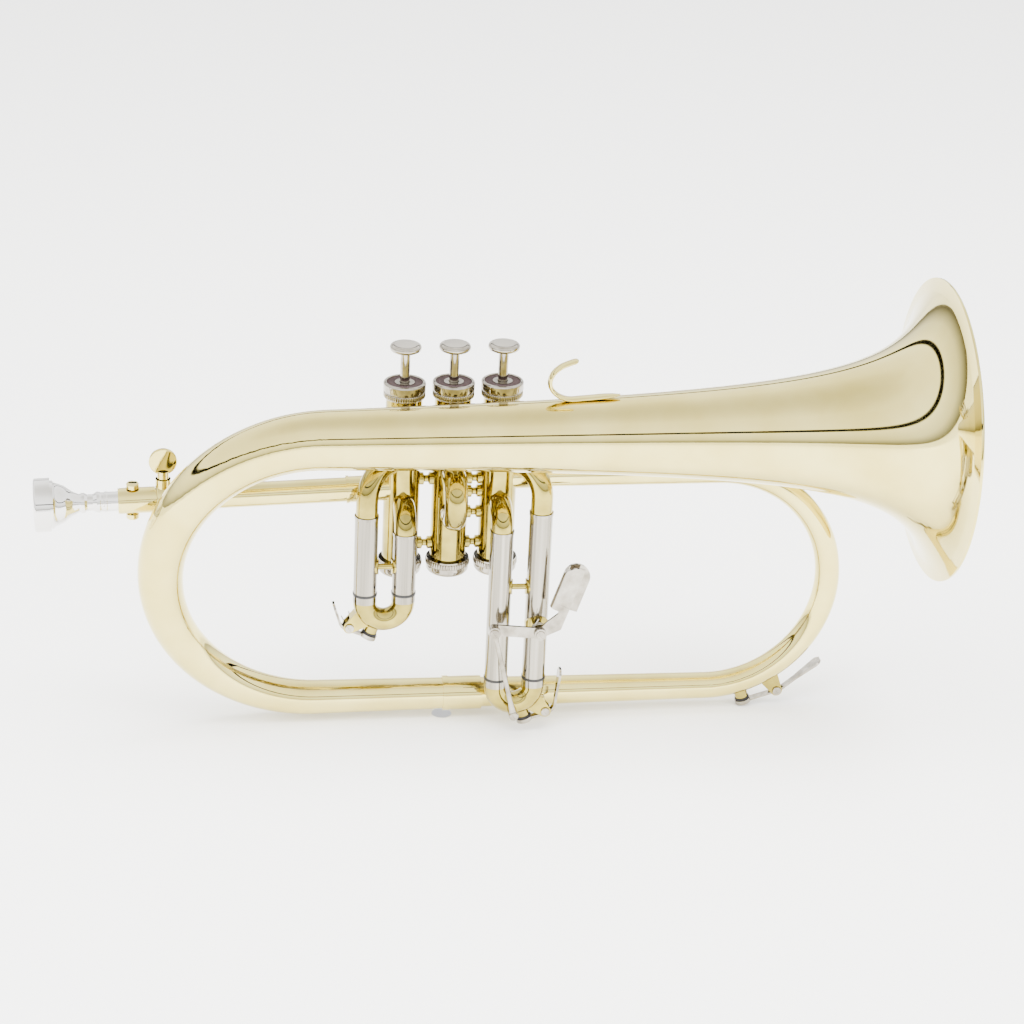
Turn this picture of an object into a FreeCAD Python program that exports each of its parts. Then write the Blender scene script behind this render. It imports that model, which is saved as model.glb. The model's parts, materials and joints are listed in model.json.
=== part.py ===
import FreeCAD, Part
import math
import os
import re

import Sketcher

# Flugelhorn, in millimetres.
# +X runs from the mouthpiece to the bell mouth, +Y away from the bell side of the valves, +Z up the
# valve axes. The origin is where the second valve's axis meets the leadpipe's axis.

Vector = FreeCAD.Vector
Rotation = FreeCAD.Rotation
Placement = FreeCAD.Placement

SIZES = (
    # valve block
    ("valve_pitch", 24.4),
    ("casing_diameter", 18.2),
    ("casing_bore", 16.8),
    ("casing_seam", 39.5),
    ("casing_foot", 44.0),
    ("casing_head", 53.0),
    ("piston_clearance", 0.05),
    ("piston_low", -20.0),
    ("piston_high", 44.0),
    ("piston_edge", 0.6),
    ("piston_port", 9.0),
    ("port_dimple", 3.5),
    ("valve_stroke", 15.0),
    ("top_cap_diameter", 21.2),
    ("top_cap_knurl_diameter", 20.0),
    ("top_cap_knurl", 51.3),
    ("top_cap_knurl_edge", 0.5),
    ("top_cap_skirt", 47.5),
    ("top_cap_rim", 55.9),
    ("top_cap_recess", 54.3),
    ("top_cap_felt_diameter", 17.8),
    ("top_cap_collar_diameter", 9.8),
    ("top_cap_collar_top", 55.6),
    ("top_cap_edge", 1.1),
    ("cap_felt_thickness", 0.9),
    ("bottom_cap_diameter", 21.7),
    ("bottom_cap_floor", 1.3),
    ("bottom_cap_depth", 8.2),
    ("bottom_cap_edge", 3.0),
    ("stem_diameter", 4.8),
    ("stem_clearance", 0.3),
    ("stem_socket", 1.6),
    ("button_diameter", 15.8),
    ("button_thickness", 4.4),
    ("button_edge", 1.7),
    ("button_hub", 1.4),
    ("button_dish", 0.9),
    ("button_gap", 0.4),
    ("spring_radius", 6.0),
    ("spring_wire", 1.0),
    ("spring_turns", 6.5),
    ("spring_end_gap", 0.1),
    # tubing shared by the valve section
    ("tube_bore", 10.5),
    ("elbow_diameter", 11.0),
    ("crossover_diameter", 11.5),
    ("crossover_first_height", 15.0),
    ("crossover_second_height", 17.0),
    ("baluster_diameter", 6.4),
    ("baluster_waist", 3.6),
    ("baluster_bead", 1.5),
    ("baluster_low", -31.8),
    ("baluster_middle", -15.2),
    ("baluster_high", -3.9),
    ("baluster_top", 3.4),
    # slides of the first and third valves
    ("slide_plane", 20.0),
    ("slide_spacing", 19.4),
    ("front_port_height", -6.6),
    ("front_elbow_radius", 11.0),
    ("front_sleeve_top", -17.0),
    ("side_port_height", 15.0),
    ("side_elbow_radius", 14.4),
    ("side_sleeve_top", -7.2),
    ("leg_diameter", 10.8),
    ("leg_wall", 0.4),
    ("slide_clearance", 0.05),
    ("shank_clearance", 0.04),
    ("sleeve_diameter", 11.7),
    ("sleeve_ring_diameter", 12.2),
    ("sleeve_ring_length", 1.4),
    ("first_sleeve_end", -49.2),
    ("third_sleeve_end", -98.6),
    ("ring_stop_gap", 0.1),
    ("ring_thickness", 1.2),
    ("ring_diameter", 12.3),
    ("slide_ferrule_length", 3.8),
    ("slide_ferrule_diameter", 11.9),
    ("slide_bow_diameter", 11.5),
    ("slide_bow_wall", 0.5),
    ("slide_bow_straight", 0.6),
    ("brace_rod_diameter", 3.0),
    ("brace_pad_diameter", 8.0),
    ("brace_pad_thickness", 0.7),
    ("first_brace_height", -35.4),
    ("third_brace_height", -48.3),
    # second slide
    ("second_upper_height", 10.0),
    ("second_lower_height", -12.0),
    ("second_sleeve_reach", 11.6),
    ("second_bow_reach", 14.6),
    ("second_sleeve_diameter", 11.8),
    ("second_leg_end", 9.6),
    # bell
    ("bell_plane", 30.0),
    ("bell_height", 37.7),
    ("bell_mouth", 241.0),
    ("bell_mouth_radius", 74.5),
    ("bell_flare_length", 10.5),
    ("bell_flare_power", 0.475),
    ("bell_wall", 0.5),
    ("bell_bead_radius", 1.4),
    ("bell_bead_flat", 0.35),
    ("tail_centre", -66.0),
    ("tail_end", -0.3),
    ("tail_end_diameter", 16.5),
    ("tail_taper_power", 1.5),
    ("tail_wall", 0.6),
    # main bow
    ("bow_height", -118.0),
    ("bow_centre", 138.5),
    ("bow_start_diameter", 16.0),
    ("bow_bend_diameter", 13.9),
    ("bow_end_diameter", 11.7),
    ("bow_wall", 0.6),
    ("outlet_height", 4.0),
    ("bell_ferrule_length", 20.0),
    ("bell_ferrule_diameter", 17.6),
    ("bell_ferrule_ring", 3.0),
    ("bell_ferrule_ring_diameter", 18.3),
    ("outlet_ferrule_length", 17.0),
    ("outlet_ferrule_diameter", 13.0),
    # leadpipe, measured along its own axis away from the valves
    ("leadpipe_pitch", 2.0),
    ("leadpipe_diameter", 11.2),
    ("leadpipe_bore", 9.5),
    ("leadpipe_inner_end", 62.0),
    ("leadpipe_sleeve_diameter", 12.3),
    ("leadpipe_sleeve_end", 140.0),
    ("leadpipe_ferrule_end", 52.5),
    ("leadpipe_ferrule_diameter", 13.2),
    ("leadpipe_ferrule_ring_diameter", 14.0),
    ("clamp_length", 6.4),
    ("clamp_diameter", 15.0),
    ("clamp_boss_diameter", 7.6),
    ("clamp_boss_height", 11.0),
    ("clamp_edge", 0.8),
    ("screw_diameter", 4.0),
    ("screw_clearance", 0.05),
    ("screw_shank_diameter", 5.8),
    ("screw_head_diameter", 14.0),
    ("screw_head_thickness", 2.0),
    ("screw_head_height", 20.1),
    ("screw_head_lap", 2.0),
    ("screw_head_edge", 0.7),
    ("screw_tip_gap", 0.4),
    ("receiver_gap", 0.6),
    ("receiver_end", 165.4),
    ("receiver_diameter", 13.0),
    ("receiver_groove", 0.35),
    ("receiver_edge", 0.3),
    ("receiver_socket", 4.0),
    ("knob_diameter", 6.4),
    ("knob_neck_diameter", 4.0),
    ("knob_neck", 0.4),
    ("knob_height", 2.8),
    ("knob_edge", 1.1),
    ("knob_sink", 0.8),
    ("knob_station", 158.2),
    # mouthpiece, measured along the leadpipe's axis
    ("mouthpiece_rim", 206.6),
    ("mouthpiece_rim_diameter", 26.8),
    ("mouthpiece_cup_diameter", 16.6),
    ("mouthpiece_cup_depth", 21.0),
    ("mouthpiece_throat", 4.2),
    ("mouthpiece_band", 8.2),
    ("mouthpiece_insert", 22.0),
    ("mouthpiece_shank_diameter", 9.9),
    ("mouthpiece_shank_end_diameter", 8.8),
    ("mouthpiece_exit_diameter", 7.6),
    ("mouthpiece_edge", 1.3),
    # finger hook
    ("hook_foot_end", 78.0),
    ("hook_foot", 25.5),
    ("hook_curl", 9.0),
    ("hook_lip_curl", 7.0),
    ("hook_lip_turn", 63.0),
    ("hook_lip", 12.0),
    ("hook_width", 5.6),
    ("hook_thickness", 1.8),
    ("hook_tilt", 2.7),
    # bell braces
    ("bell_brace_diameter", 4.6),
    ("bell_brace_pad_diameter", 9.0),
    ("bell_brace_pad_thickness", 0.8),
    # water keys
    ("nipple_diameter", 6.8),
    ("nipple_bore", 3.0),
    ("nipple_sink", 2.0),
    ("slide_nipple_height", 2.2),
    ("main_nipple_height", 3.2),
    ("cork_diameter", 7.4),
    ("cork_thickness", 2.2),
    ("cork_gap", 0.05),
    ("cork_cup_wall", 0.5),
    ("cork_cup_lip", 0.9),
    ("key_width", 3.4),
    ("key_strip", 1.2),
    ("key_bend_radius", 6.0),
    ("key_bend_start", 0.5),
    ("key_barrel_diameter", 3.8),
    ("key_pin_diameter", 1.7),
    ("key_pin_clearance", 0.05),
    ("key_screw_head_diameter", 4.4),
    ("key_screw_head", 0.6),
    ("key_ear_thickness", 1.3),
    ("key_ear_gap", 0.2),
    ("key_ear_width", 6.0),
    ("key_ear_foot", 10.0),
    ("key_thumb_width", 7.0),
    ("slide_hinge_reach", 11.3),
    ("slide_hinge_rise", 3.0),
    ("main_hinge_reach", 18.3),
    ("main_hinge_rise", 4.6),
    ("first_key_turn", 22.0),
    ("first_key_bend", 51.0),
    ("first_key_thumb", 11.4),
    ("third_key_turn", 17.5),
    ("third_key_bend", 67.0),
    ("third_key_thumb", 19.8),
    ("main_key_turn", 17.0),
    ("main_key_bend", 23.0),
    ("main_key_thumb", 25.9),
    # third slide trigger
    ("trigger_pivot_height", -68.4),
    ("trigger_pivot_plane", 33.0),
    ("trigger_arm", 23.6),
    ("trigger_arm_rise", 2.5),
    ("trigger_plate_height", 5.8),
    ("trigger_plate", 1.4),
    ("trigger_pin_diameter", 2.4),
    ("trigger_pin_clearance", 0.05),
    ("trigger_post_diameter", 6.0),
    ("trigger_screw_head_diameter", 6.2),
    ("trigger_screw_head", 1.6),
    ("trigger_heel_reach", 10.5),
    ("trigger_heel_lift", 1.8),
    ("trigger_shoulder_reach", 3.3),
    ("trigger_shoulder_lift", 6.3),
    ("trigger_neck_lift", 10.7),
    ("paddle_reach", 12.2),
    ("paddle_lift", 14.0),
    ("paddle_lean", 18.4),
    ("paddle_length", 22.4),
    ("paddle_drop", 2.8),
    ("paddle_depth", 5.8),
    ("paddle_near_edge", 2.4),
    ("paddle_far_edge", 8.3),
    ("paddle_back", 6.7),
    ("paddle_thickness", 1.2),
    ("rod_diameter", 2.4),
    ("rod_socket_diameter", 3.8),
    ("rod_socket_length", 9.5),
    ("rod_eye_wall", 1.1),
    ("rod_eye_slack", 0.8),
    ("rod_eye_thickness", 1.8),
    ("rod_foot_reach", 32.4),
    ("rod_foot_height", -115.0),
    ("rod_post_diameter", 2.6),
    ("rod_root_diameter", 4.8),
    ("rod_part_gap", 0.2),
)

doc = FreeCAD.newDocument("Flugelhorn")
sheet = doc.addObject("Spreadsheet::Sheet", "Sizes")
for row, (alias, amount) in enumerate(SIZES, start=1):
    sheet.set(f"A{row}", alias)
    sheet.set(f"B{row}", str(amount))
    sheet.setAlias(f"B{row}", alias)
doc.recompute()

ALIASES = {alias for alias, amount in SIZES}
NODES = {}

UPRIGHT = Rotation()
ALONG_X = Rotation(Vector(0, 1, 0), 90)
AGAINST_X = Rotation(Vector(0, 1, 0), -90)
ALONG_Y = Rotation(Vector(1, 0, 0), -90)
AGAINST_Y = Rotation(Vector(1, 0, 0), 90)
DOWNWARD = Rotation(Vector(1, 0, 0), 180)


def full(formula):
    """Give a formula's size names the sheet's name in front."""
    return re.sub(r"[a-z][a-z_]+", lambda m: "Sizes." * (m.group() in ALIASES) + m.group(), formula)


def number(formula):
    """Work a formula out from the sheet."""
    return float(sheet.evalExpression(full(formula)))


def bind(item, prop, formula):
    item.setExpression(prop, full(formula))


def place(item, at=("0", "0", "0"), turn=UPRIGHT):
    """Turn an item, and tie its position to the sheet."""
    item.Placement = Placement(Vector(*[number(formula) for formula in at]), turn)
    for axis, formula in zip("xyz", at):
        bind(item, f"Placement.Base.{axis}", formula)
    return item


def node(name, item):
    """Mark an item as a finished sub-part that is written to its own file."""
    item.Label = name
    NODES[name] = item
    return item


def plane(body, role):
    return [feature for feature in body.Origin.OriginFeatures if feature.Role == role][0]


def sketch_on(body, role, name):
    sketch = body.newObject("Sketcher::SketchObject", name)
    sketch.AttachmentSupport = [(plane(body, role), "")]
    sketch.MapMode = "FlatFace"
    return sketch


def fix_point(sketch, edge, end, across, up):
    """Tie one sketch point to two formulas."""
    if across == "0":
        sketch.addConstraint(Sketcher.Constraint("PointOnObject", edge, end, -2))
    else:
        index = sketch.addConstraint(Sketcher.Constraint("DistanceX", -1, 1, edge, end, number(across)))
        bind(sketch, f"Constraints[{index}]", across)
    if up == "0":
        sketch.addConstraint(Sketcher.Constraint("PointOnObject", edge, end, -1))
    else:
        index = sketch.addConstraint(Sketcher.Constraint("DistanceY", -1, 1, edge, end, number(up)))
        bind(sketch, f"Constraints[{index}]", up)


def draw_outline(sketch, outline):
    """Draw a closed outline of straight edges through points given as formulas."""
    corners = [Vector(number(across), number(up), 0) for across, up in outline]
    for index, corner in enumerate(corners):
        sketch.addGeometry(Part.LineSegment(corner, corners[(index + 1) % len(corners)]))
    for index in range(len(corners)):
        sketch.addConstraint(Sketcher.Constraint("Coincident", index, 2, (index + 1) % len(corners), 1))
    for index, (across, up) in enumerate(outline):
        fix_point(sketch, index, 1, across, up)


def draw_route(sketch, route, curves):
    """Draw an open route: straight runs, and arcs where curves gives a radius and a side (+1 left)."""
    corners = [Vector(number(across), number(up), 0) for across, up in route]
    for index in range(len(corners) - 1):
        start = corners[index]
        end = corners[index + 1]
        if index not in curves:
            sketch.addGeometry(Part.LineSegment(start, end))
            continue
        radius, side = curves[index]
        chord = end - start
        left = Vector(-chord.y, chord.x, 0).normalize()
        sagitta = number(radius) - math.sqrt(number(radius) ** 2 - chord.Length ** 2 / 4)
        sketch.addGeometry(Part.Arc(start, (start + end) / 2 - left * side * sagitta, end))
    for index in range(len(corners) - 1):
        first = 1
        last = 2
        if index in curves and curves[index][1] < 0:
            first = 2
            last = 1
        fix_point(sketch, index, first, *route[index])
        fix_point(sketch, index, last, *route[index + 1])
        if index in curves:
            mark = sketch.addConstraint(Sketcher.Constraint("Radius", index, number(curves[index][0])))
            bind(sketch, f"Constraints[{mark}]", curves[index][0])


def ring_edges(shape, spots):
    """Find the circular edges of a turned shape that lie at given radii and heights."""
    names = []
    for index, edge in enumerate(shape.Edges, start=1):
        for radius, height in spots:
            if not isinstance(edge.Curve, Part.Circle):
                continue
            gap = max(abs(edge.Curve.Radius - number(radius)), abs(edge.Curve.Center.z - number(height)))
            if gap < 1e-4:
                names.append(f"Edge{index}")
    return names


def turned(name, outline, rounds=()):
    """Turn an outline of (radius, height) formulas about Z; rounds lists (fillet radius, spots)."""
    body = doc.addObject("PartDesign::Body", name)
    sketch = sketch_on(body, "XZ_Plane", name + "_outline")
    draw_outline(sketch, outline)
    turn = body.newObject("PartDesign::Revolution", name + "_turn")
    turn.Profile = sketch
    turn.ReferenceAxis = (sketch, ["V_Axis"])
    turn.Angle = 360
    doc.recompute()
    last = turn
    for index, (radius, spots) in enumerate(rounds):
        fillet = body.newObject("PartDesign::Fillet", f"{name}_round_{index}")
        fillet.Base = (last, ring_edges(last.Shape, spots))
        bind(fillet, "Radius", radius)
        doc.recompute()
        last = fillet
    return body


def tube(name, outer, inner, low, high):
    """Turn a plain tube from its two radii and two ends."""
    return turned(name, ((inner, low), (outer, low), (outer, high), (inner, high)))


def piped(name, route, curves, outer, inner=None, start="XY_Plane", strip=None):
    """Carry a ring, a disc or a flat strip along a route drawn in the body's XZ plane."""
    body = doc.addObject("PartDesign::Body", name)
    spine = sketch_on(body, "XZ_Plane", name + "_route")
    draw_route(spine, route, curves)
    section = sketch_on(body, start, name + "_section")
    centre = ("0", route[0][1])
    if start == "XY_Plane":
        centre = (route[0][0], "0")
        section.AttachmentOffset = Placement(Vector(0, 0, number(route[0][1])), Rotation())
        bind(section, "AttachmentOffset.Base.z", route[0][1])
    if strip:
        width, thickness = strip
        across = (f"-({width}) / 2", f"({width}) / 2")
        up = (f"{centre[1]} - ({thickness}) / 2", f"{centre[1]} + ({thickness}) / 2")
        corners = ((across[0], up[0]), (across[1], up[0]), (across[1], up[1]), (across[0], up[1]))
        draw_outline(section, corners)
    else:
        for index, radius in enumerate([outer] + ([inner] if inner else [])):
            middle = Vector(number(centre[0]), number(centre[1]), 0)
            section.addGeometry(Part.Circle(middle, Vector(0, 0, 1), number(radius)))
            fix_point(section, index, 3, *centre)
            mark = section.addConstraint(Sketcher.Constraint("Radius", index, number(radius)))
            bind(section, f"Constraints[{mark}]", radius)
    pipe = body.newObject("PartDesign::AdditivePipe", name + "_pipe")
    pipe.Profile = section
    pipe.Spine = (spine, [f"Edge{index}" for index in range(1, len(route))])
    doc.recompute()
    return body


def padded(name, outline, thickness, role="XZ_Plane"):
    """Pad an outline by its thickness, half to each side of the sketch plane."""
    body = doc.addObject("PartDesign::Body", name)
    sketch = sketch_on(body, role, name + "_outline")
    draw_outline(sketch, outline)
    pad = body.newObject("PartDesign::Pad", name + "_pad")
    pad.Profile = sketch
    bind(pad, "Length", thickness)
    pad.Midplane = True
    doc.recompute()
    return body


def cylinder(name, radius, length, at=None, turn=UPRIGHT):
    """Make a cylinder; one with no position is left for its caller to place."""
    item = doc.addObject("Part::Cylinder", name)
    bind(item, "Radius", radius)
    bind(item, "Height", length)
    return place(item, at, turn) if at else item


def box(name, low, high):
    """Make a box between two corners given as formulas."""
    item = doc.addObject("Part::Box", name)
    for side, start, end in zip(("Length", "Width", "Height"), low, high):
        bind(item, side, f"({end}) - ({start})")
    return place(item, low)


def cut(name, base, tool):
    item = doc.addObject("Part::Cut", name)
    item.Base = base
    item.Tool = tool
    return item


def fuse(name, items):
    item = doc.addObject("Part::MultiFuse", name)
    item.Shapes = items
    return item


def common(name, items):
    item = doc.addObject("Part::MultiCommon", name)
    item.Shapes = items
    return item


def group(name, items):
    item = doc.addObject("Part::Compound", name)
    item.Links = items
    return item


def moulded(name, shape):
    """Hold a shape that has a law of its own, worked out from the sheet's sizes."""
    item = doc.addObject("Part::Feature", name)
    item.Shape = shape
    return item


# ---------------------------------------------------------------- valves
VALVES = (1, 2, 3)
VALVE_X = {1: "-valve_pitch", 2: "0", 3: "valve_pitch"}
CROSSOVERS = {1: "crossover_first_height", 2: "crossover_second_height"}


def valve_ports(valve):
    """List a casing's ports as (turn, height): which way each one leaves the casing, and how high."""
    front = Rotation(Vector(1, 0, 0), 90)
    if valve == 1:
        side = Rotation(Vector(0, 0, 1), -45).multiply(front)
        return ((AGAINST_X, "0"), (ALONG_X, CROSSOVERS[1]), (front, "front_port_height"),
                (side, "side_port_height"))
    if valve == 2:
        return (
            (AGAINST_X, CROSSOVERS[1]),
            (ALONG_X, CROSSOVERS[2]),
            (front, "second_upper_height"),
            (front, "second_lower_height"),
        )
    side = Rotation(Vector(0, 0, 1), 45).multiply(front)
    return ((AGAINST_X, CROSSOVERS[2]), (ALONG_X, "outlet_height"), (front, "front_port_height"),
            (side, "side_port_height"))


def casing_solid(name, valve):
    """A solid as wide as a casing, for trimming what meets the casing from outside."""
    at = (VALVE_X[valve], "0", "-casing_foot - casing_head")
    return cylinder(f"{name}_trim_{valve}", "casing_diameter / 2", "2 * (casing_foot + casing_head)", at)


def make_casing(valve):
    name = f"valve_casing_{valve}"
    barrel = tube(name + "_barrel", "casing_diameter / 2", "casing_bore / 2", "-casing_foot", "casing_head")
    place(barrel, (VALVE_X[valve], "0", "0"))
    holes = [
        cylinder(f"{name}_port_{index}", "tube_bore / 2", "casing_diameter",
                 (VALVE_X[valve], "0", height), turn)
        for index, (turn, height) in enumerate(valve_ports(valve))
    ]
    node(name, cut(name, barrel, fuse(name + "_ports", holes)))


def make_piston(valve):
    name = f"piston_{valve}"
    radius = "casing_bore / 2 - piston_clearance"
    socket = "stem_diameter / 2"
    outline = (
        ("0", "piston_low"),
        (radius, "piston_low"),
        (radius, "piston_high"),
        (socket, "piston_high"),
        (socket, "piston_high - 4 * stem_socket"),
        ("0", "piston_high - 4 * stem_socket"),
    )
    rounds = (("piston_edge", ((radius, "piston_low"), (radius, "piston_high"))),)
    barrel = place(turned(name + "_barrel", outline, rounds), (VALVE_X[valve], "0", "0"))
    ports = valve_ports(valve)
    rise = f"({ports[1][1]}) - ({ports[0][1]})"
    middle = f"(({ports[1][1]}) + ({ports[0][1]})) / 2"
    lean = math.degrees(math.atan2(number(rise), number("casing_bore")))
    run = Rotation(Vector(0, 1, 0), 90 - lean)
    start = (
        f"{VALVE_X[valve]} - casing_bore * {math.cos(math.radians(lean)):.9f}",
        "0",
        f"{middle} - casing_bore * {math.sin(math.radians(lean)):.9f}",
    )
    passages = [cylinder(name + "_passage", "piston_port / 2", "2 * casing_bore", start, run)]
    for index, (turn, height) in enumerate(ports[2:]):
        outward = turn.multVec(Vector(0, 0, 1))
        inset = "(casing_bore / 2 - port_dimple)"
        at = (
            f"{VALVE_X[valve]} + {outward.x:.9f} * {inset}",
            f"{outward.y:.9f} * {inset}",
            f"{height} + valve_stroke",
        )
        passages.append(cylinder(f"{name}_dimple_{index}", "piston_port / 2", "2 * port_dimple", at, turn))
    node(name, cut(name, barrel, fuse(name + "_passages", passages)))


STEM_TOP = "top_cap_collar_top + valve_stroke + button_gap"


def make_stem(valve):
    name = f"valve_stem_{valve}"
    radius = "stem_diameter / 2"
    low = "piston_high - 4 * stem_socket"
    stem = turned(name, (("0", low), (radius, low), (radius, STEM_TOP), ("0", STEM_TOP)))
    node(name, place(stem, (VALVE_X[valve], "0", "0")))


def make_button(valve):
    name = f"finger_button_{valve}"
    radius = "button_diameter / 2"
    top = f"{STEM_TOP} + button_thickness"
    hub = "stem_diameter / 2 + button_hub"
    under = f"{STEM_TOP} + button_dish"
    outline = (
        ("0", STEM_TOP),
        (hub, STEM_TOP),
        (hub, under),
        (radius, under),
        (radius, top),
        ("0", top),
    )
    rounds = (("button_edge", ((radius, under), (radius, top))),)
    node(name, place(turned(name, outline, rounds), (VALVE_X[valve], "0", "0")))


SPRING_LOW = "-casing_seam - bottom_cap_depth + bottom_cap_floor"


def make_valve_spring(valve):
    """Round wire wound up from the bottom cap to the piston, each turn made of short straight chords."""
    low = f"{SPRING_LOW} + spring_wire / 2 + spring_end_gap"
    high = "piston_low - spring_wire / 2 - spring_end_gap"
    foot = Vector(number(VALVE_X[valve]), 0, number(low))
    rise = Vector(0, 0, number(high) - number(low))
    wire = number("spring_wire / 2")
    turns = number("spring_turns")
    steps = round(turns * SPRING_CHORDS)
    sides = [2 * math.pi * side / SPRING_SIDES for side in range(SPRING_SIDES)]
    rings = []
    for step in range(steps + 1):
        turn = 2 * math.pi * turns * step / steps
        outward = Vector(math.cos(turn), math.sin(turn), 0)
        centre = foot + outward * number("spring_radius") + rise * (step / steps)
        rings.append([centre + outward * (wire * math.cos(side)) + Vector(0, 0, wire * math.sin(side))
                      for side in sides])
    facets = [rings[0], rings[-1]]
    for ring, following in zip(rings, rings[1:]):
        for side in range(SPRING_SIDES):
            corners = (ring[side - 1], ring[side], following[side], following[side - 1])
            facets += [corners[:3], (corners[0], corners[2], corners[3])]
    faces = [Part.Face(Part.makePolygon([*facet, facet[0]])) for facet in facets]
    coil = Part.makeSolid(Part.makeShell(faces))
    if coil.Volume < 0:
        coil.reverse()
    node(f"valve_spring_{valve}", moulded(f"valve_spring_{valve}", coil))


def make_caps():
    """Top caps with their felts, and bottom caps, three of each."""
    skirt = "casing_diameter / 2"
    outer = "top_cap_diameter / 2"
    felt = "top_cap_felt_diameter / 2"
    collar = "top_cap_collar_diameter / 2"
    hole = "stem_diameter / 2 + stem_clearance"
    knurl = "top_cap_knurl_diameter / 2"
    top_outline = (
        (skirt, "top_cap_skirt"),
        (knurl, "top_cap_skirt"),
        (knurl, "top_cap_knurl"),
        (outer, "top_cap_knurl"),
        (outer, "top_cap_rim"),
        (felt, "top_cap_rim"),
        (felt, "top_cap_recess"),
        (collar, "top_cap_recess"),
        (collar, "top_cap_collar_top"),
        (hole, "top_cap_collar_top"),
        (hole, "casing_head"),
        (skirt, "casing_head"),
    )
    base = "-casing_seam - bottom_cap_depth"
    low = "bottom_cap_diameter / 2"
    bottom_outline = (
        (skirt, "-casing_seam"),
        (skirt, SPRING_LOW),
        ("0", SPRING_LOW),
        ("0", base),
        (low, base),
        (low, "-casing_seam"),
    )
    top_caps = []
    felts = []
    bottom_caps = []
    for valve in VALVES:
        at = (VALVE_X[valve], "0", "0")
        rounds = (
            ("top_cap_edge", ((outer, "top_cap_rim"),)),
            ("top_cap_knurl_edge", ((felt, "top_cap_rim"), (outer, "top_cap_knurl"),
                                    (knurl, "top_cap_skirt"))),
        )
        top_caps.append(place(turned(f"top_cap_{valve}", top_outline, rounds), at))
        ring = tube(f"cap_felt_{valve}", felt, collar, "top_cap_recess",
                    "top_cap_recess + cap_felt_thickness")
        felts.append(place(ring, at))
        edge = (("bottom_cap_edge", ((low, base),)),)
        bottom_caps.append(place(turned(f"bottom_cap_{valve}", bottom_outline, edge), at))
    node("top_caps", group("top_caps", top_caps))
    node("cap_felts", group("cap_felts", felts))
    node("bottom_caps", group("bottom_caps", bottom_caps))


def make_crossovers():
    """Short tubes that carry the air from one casing to the next."""
    tubes = []
    for gap in (1, 2):
        name = f"crossover_{gap}"
        run = tube(name + "_run", "crossover_diameter / 2", "tube_bore / 2", "0", "valve_pitch")
        place(run, (VALVE_X[gap], "0", CROSSOVERS[gap]), ALONG_X)
        walls = fuse(name + "_walls", [casing_solid(name, gap), casing_solid(name, gap + 1)])
        tubes.append(cut(name, run, walls))
    node("crossover_tubes", group("crossover_tubes", tubes))


def make_balusters():
    """Small turned braces between the casings."""
    rows = ((1, "baluster_low"), (1, "baluster_top"), (2, "baluster_low"), (2, "baluster_middle"),
            (2, "baluster_high"), (2, "baluster_top"))
    end = "baluster_diameter / 2"
    waist = "baluster_waist / 2"
    middle = "valve_pitch / 2"
    outline = (
        ("0", "0"),
        (end, "0"),
        (end, f"{middle} - baluster_bead"),
        (waist, f"{middle} - baluster_bead / 2"),
        (waist, f"{middle} + baluster_bead / 2"),
        (end, f"{middle} + baluster_bead"),
        (end, "valve_pitch"),
        ("0", "valve_pitch"),
    )
    braces = []
    for index, (gap, height) in enumerate(rows):
        name = f"baluster_{index}"
        rod = place(turned(name + "_rod", outline), (VALVE_X[gap], "0", height), ALONG_X)
        walls = fuse(name + "_walls", [casing_solid(name, gap), casing_solid(name, gap + 1)])
        braces.append(cut(name, rod, walls))
    node("casing_braces", group("casing_braces", braces))


# ---------------------------------------------------------------- first and third slides
# A front leg stands straight before the casing; a side leg stands one slide spacing further out.
SIDE_REACH = "sqrt(slide_plane * slide_plane + slide_spacing * slide_spacing)"
SLIDES = {
    1: {"valve": 1, "side": -1, "end": "first_sleeve_end", "brace": "first_brace_height"},
    3: {"valve": 3, "side": 1, "end": "third_sleeve_end", "brace": "third_brace_height"},
}


def leg_places(slide):
    """The two legs of a slide: (x formula, sleeve top, elbow radius, port height, reach, turn)."""
    axis = VALVE_X[SLIDES[slide]["valve"]]
    side = SLIDES[slide]["side"]
    heading = math.degrees(math.atan2(-number("slide_plane"), side * number("slide_spacing")))
    front = (axis, "front_sleeve_top", "front_elbow_radius", "front_port_height", "slide_plane", -90)
    far = (f"{axis} + {side} * slide_spacing", "side_sleeve_top", "side_elbow_radius", "side_port_height",
           SIDE_REACH, heading)
    return {"front": front, "side": far}


def make_elbows():
    """Four bent tubes from the casings' front ports down to the slide sleeves."""
    elbows = []
    for slide in SLIDES:
        valve = SLIDES[slide]["valve"]
        for leg, (across, top, radius, height, reach, heading) in leg_places(slide).items():
            name = f"elbow_{slide}_{leg}"
            route = (("0", "0"), (f"{reach} - {radius}", "0"), (reach, f"-{radius}"),
                     (reach, f"{top} - ({height})"))
            bend = piped(name + "_bend", route, {1: (radius, -1)}, "elbow_diameter / 2", "tube_bore / 2",
                         "YZ_Plane")
            place(bend, (VALVE_X[valve], "0", height), Rotation(Vector(0, 0, 1), heading))
            elbows.append(cut(name, bend, casing_solid(name, valve)))
    node("port_elbows", group("port_elbows", elbows))


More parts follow.
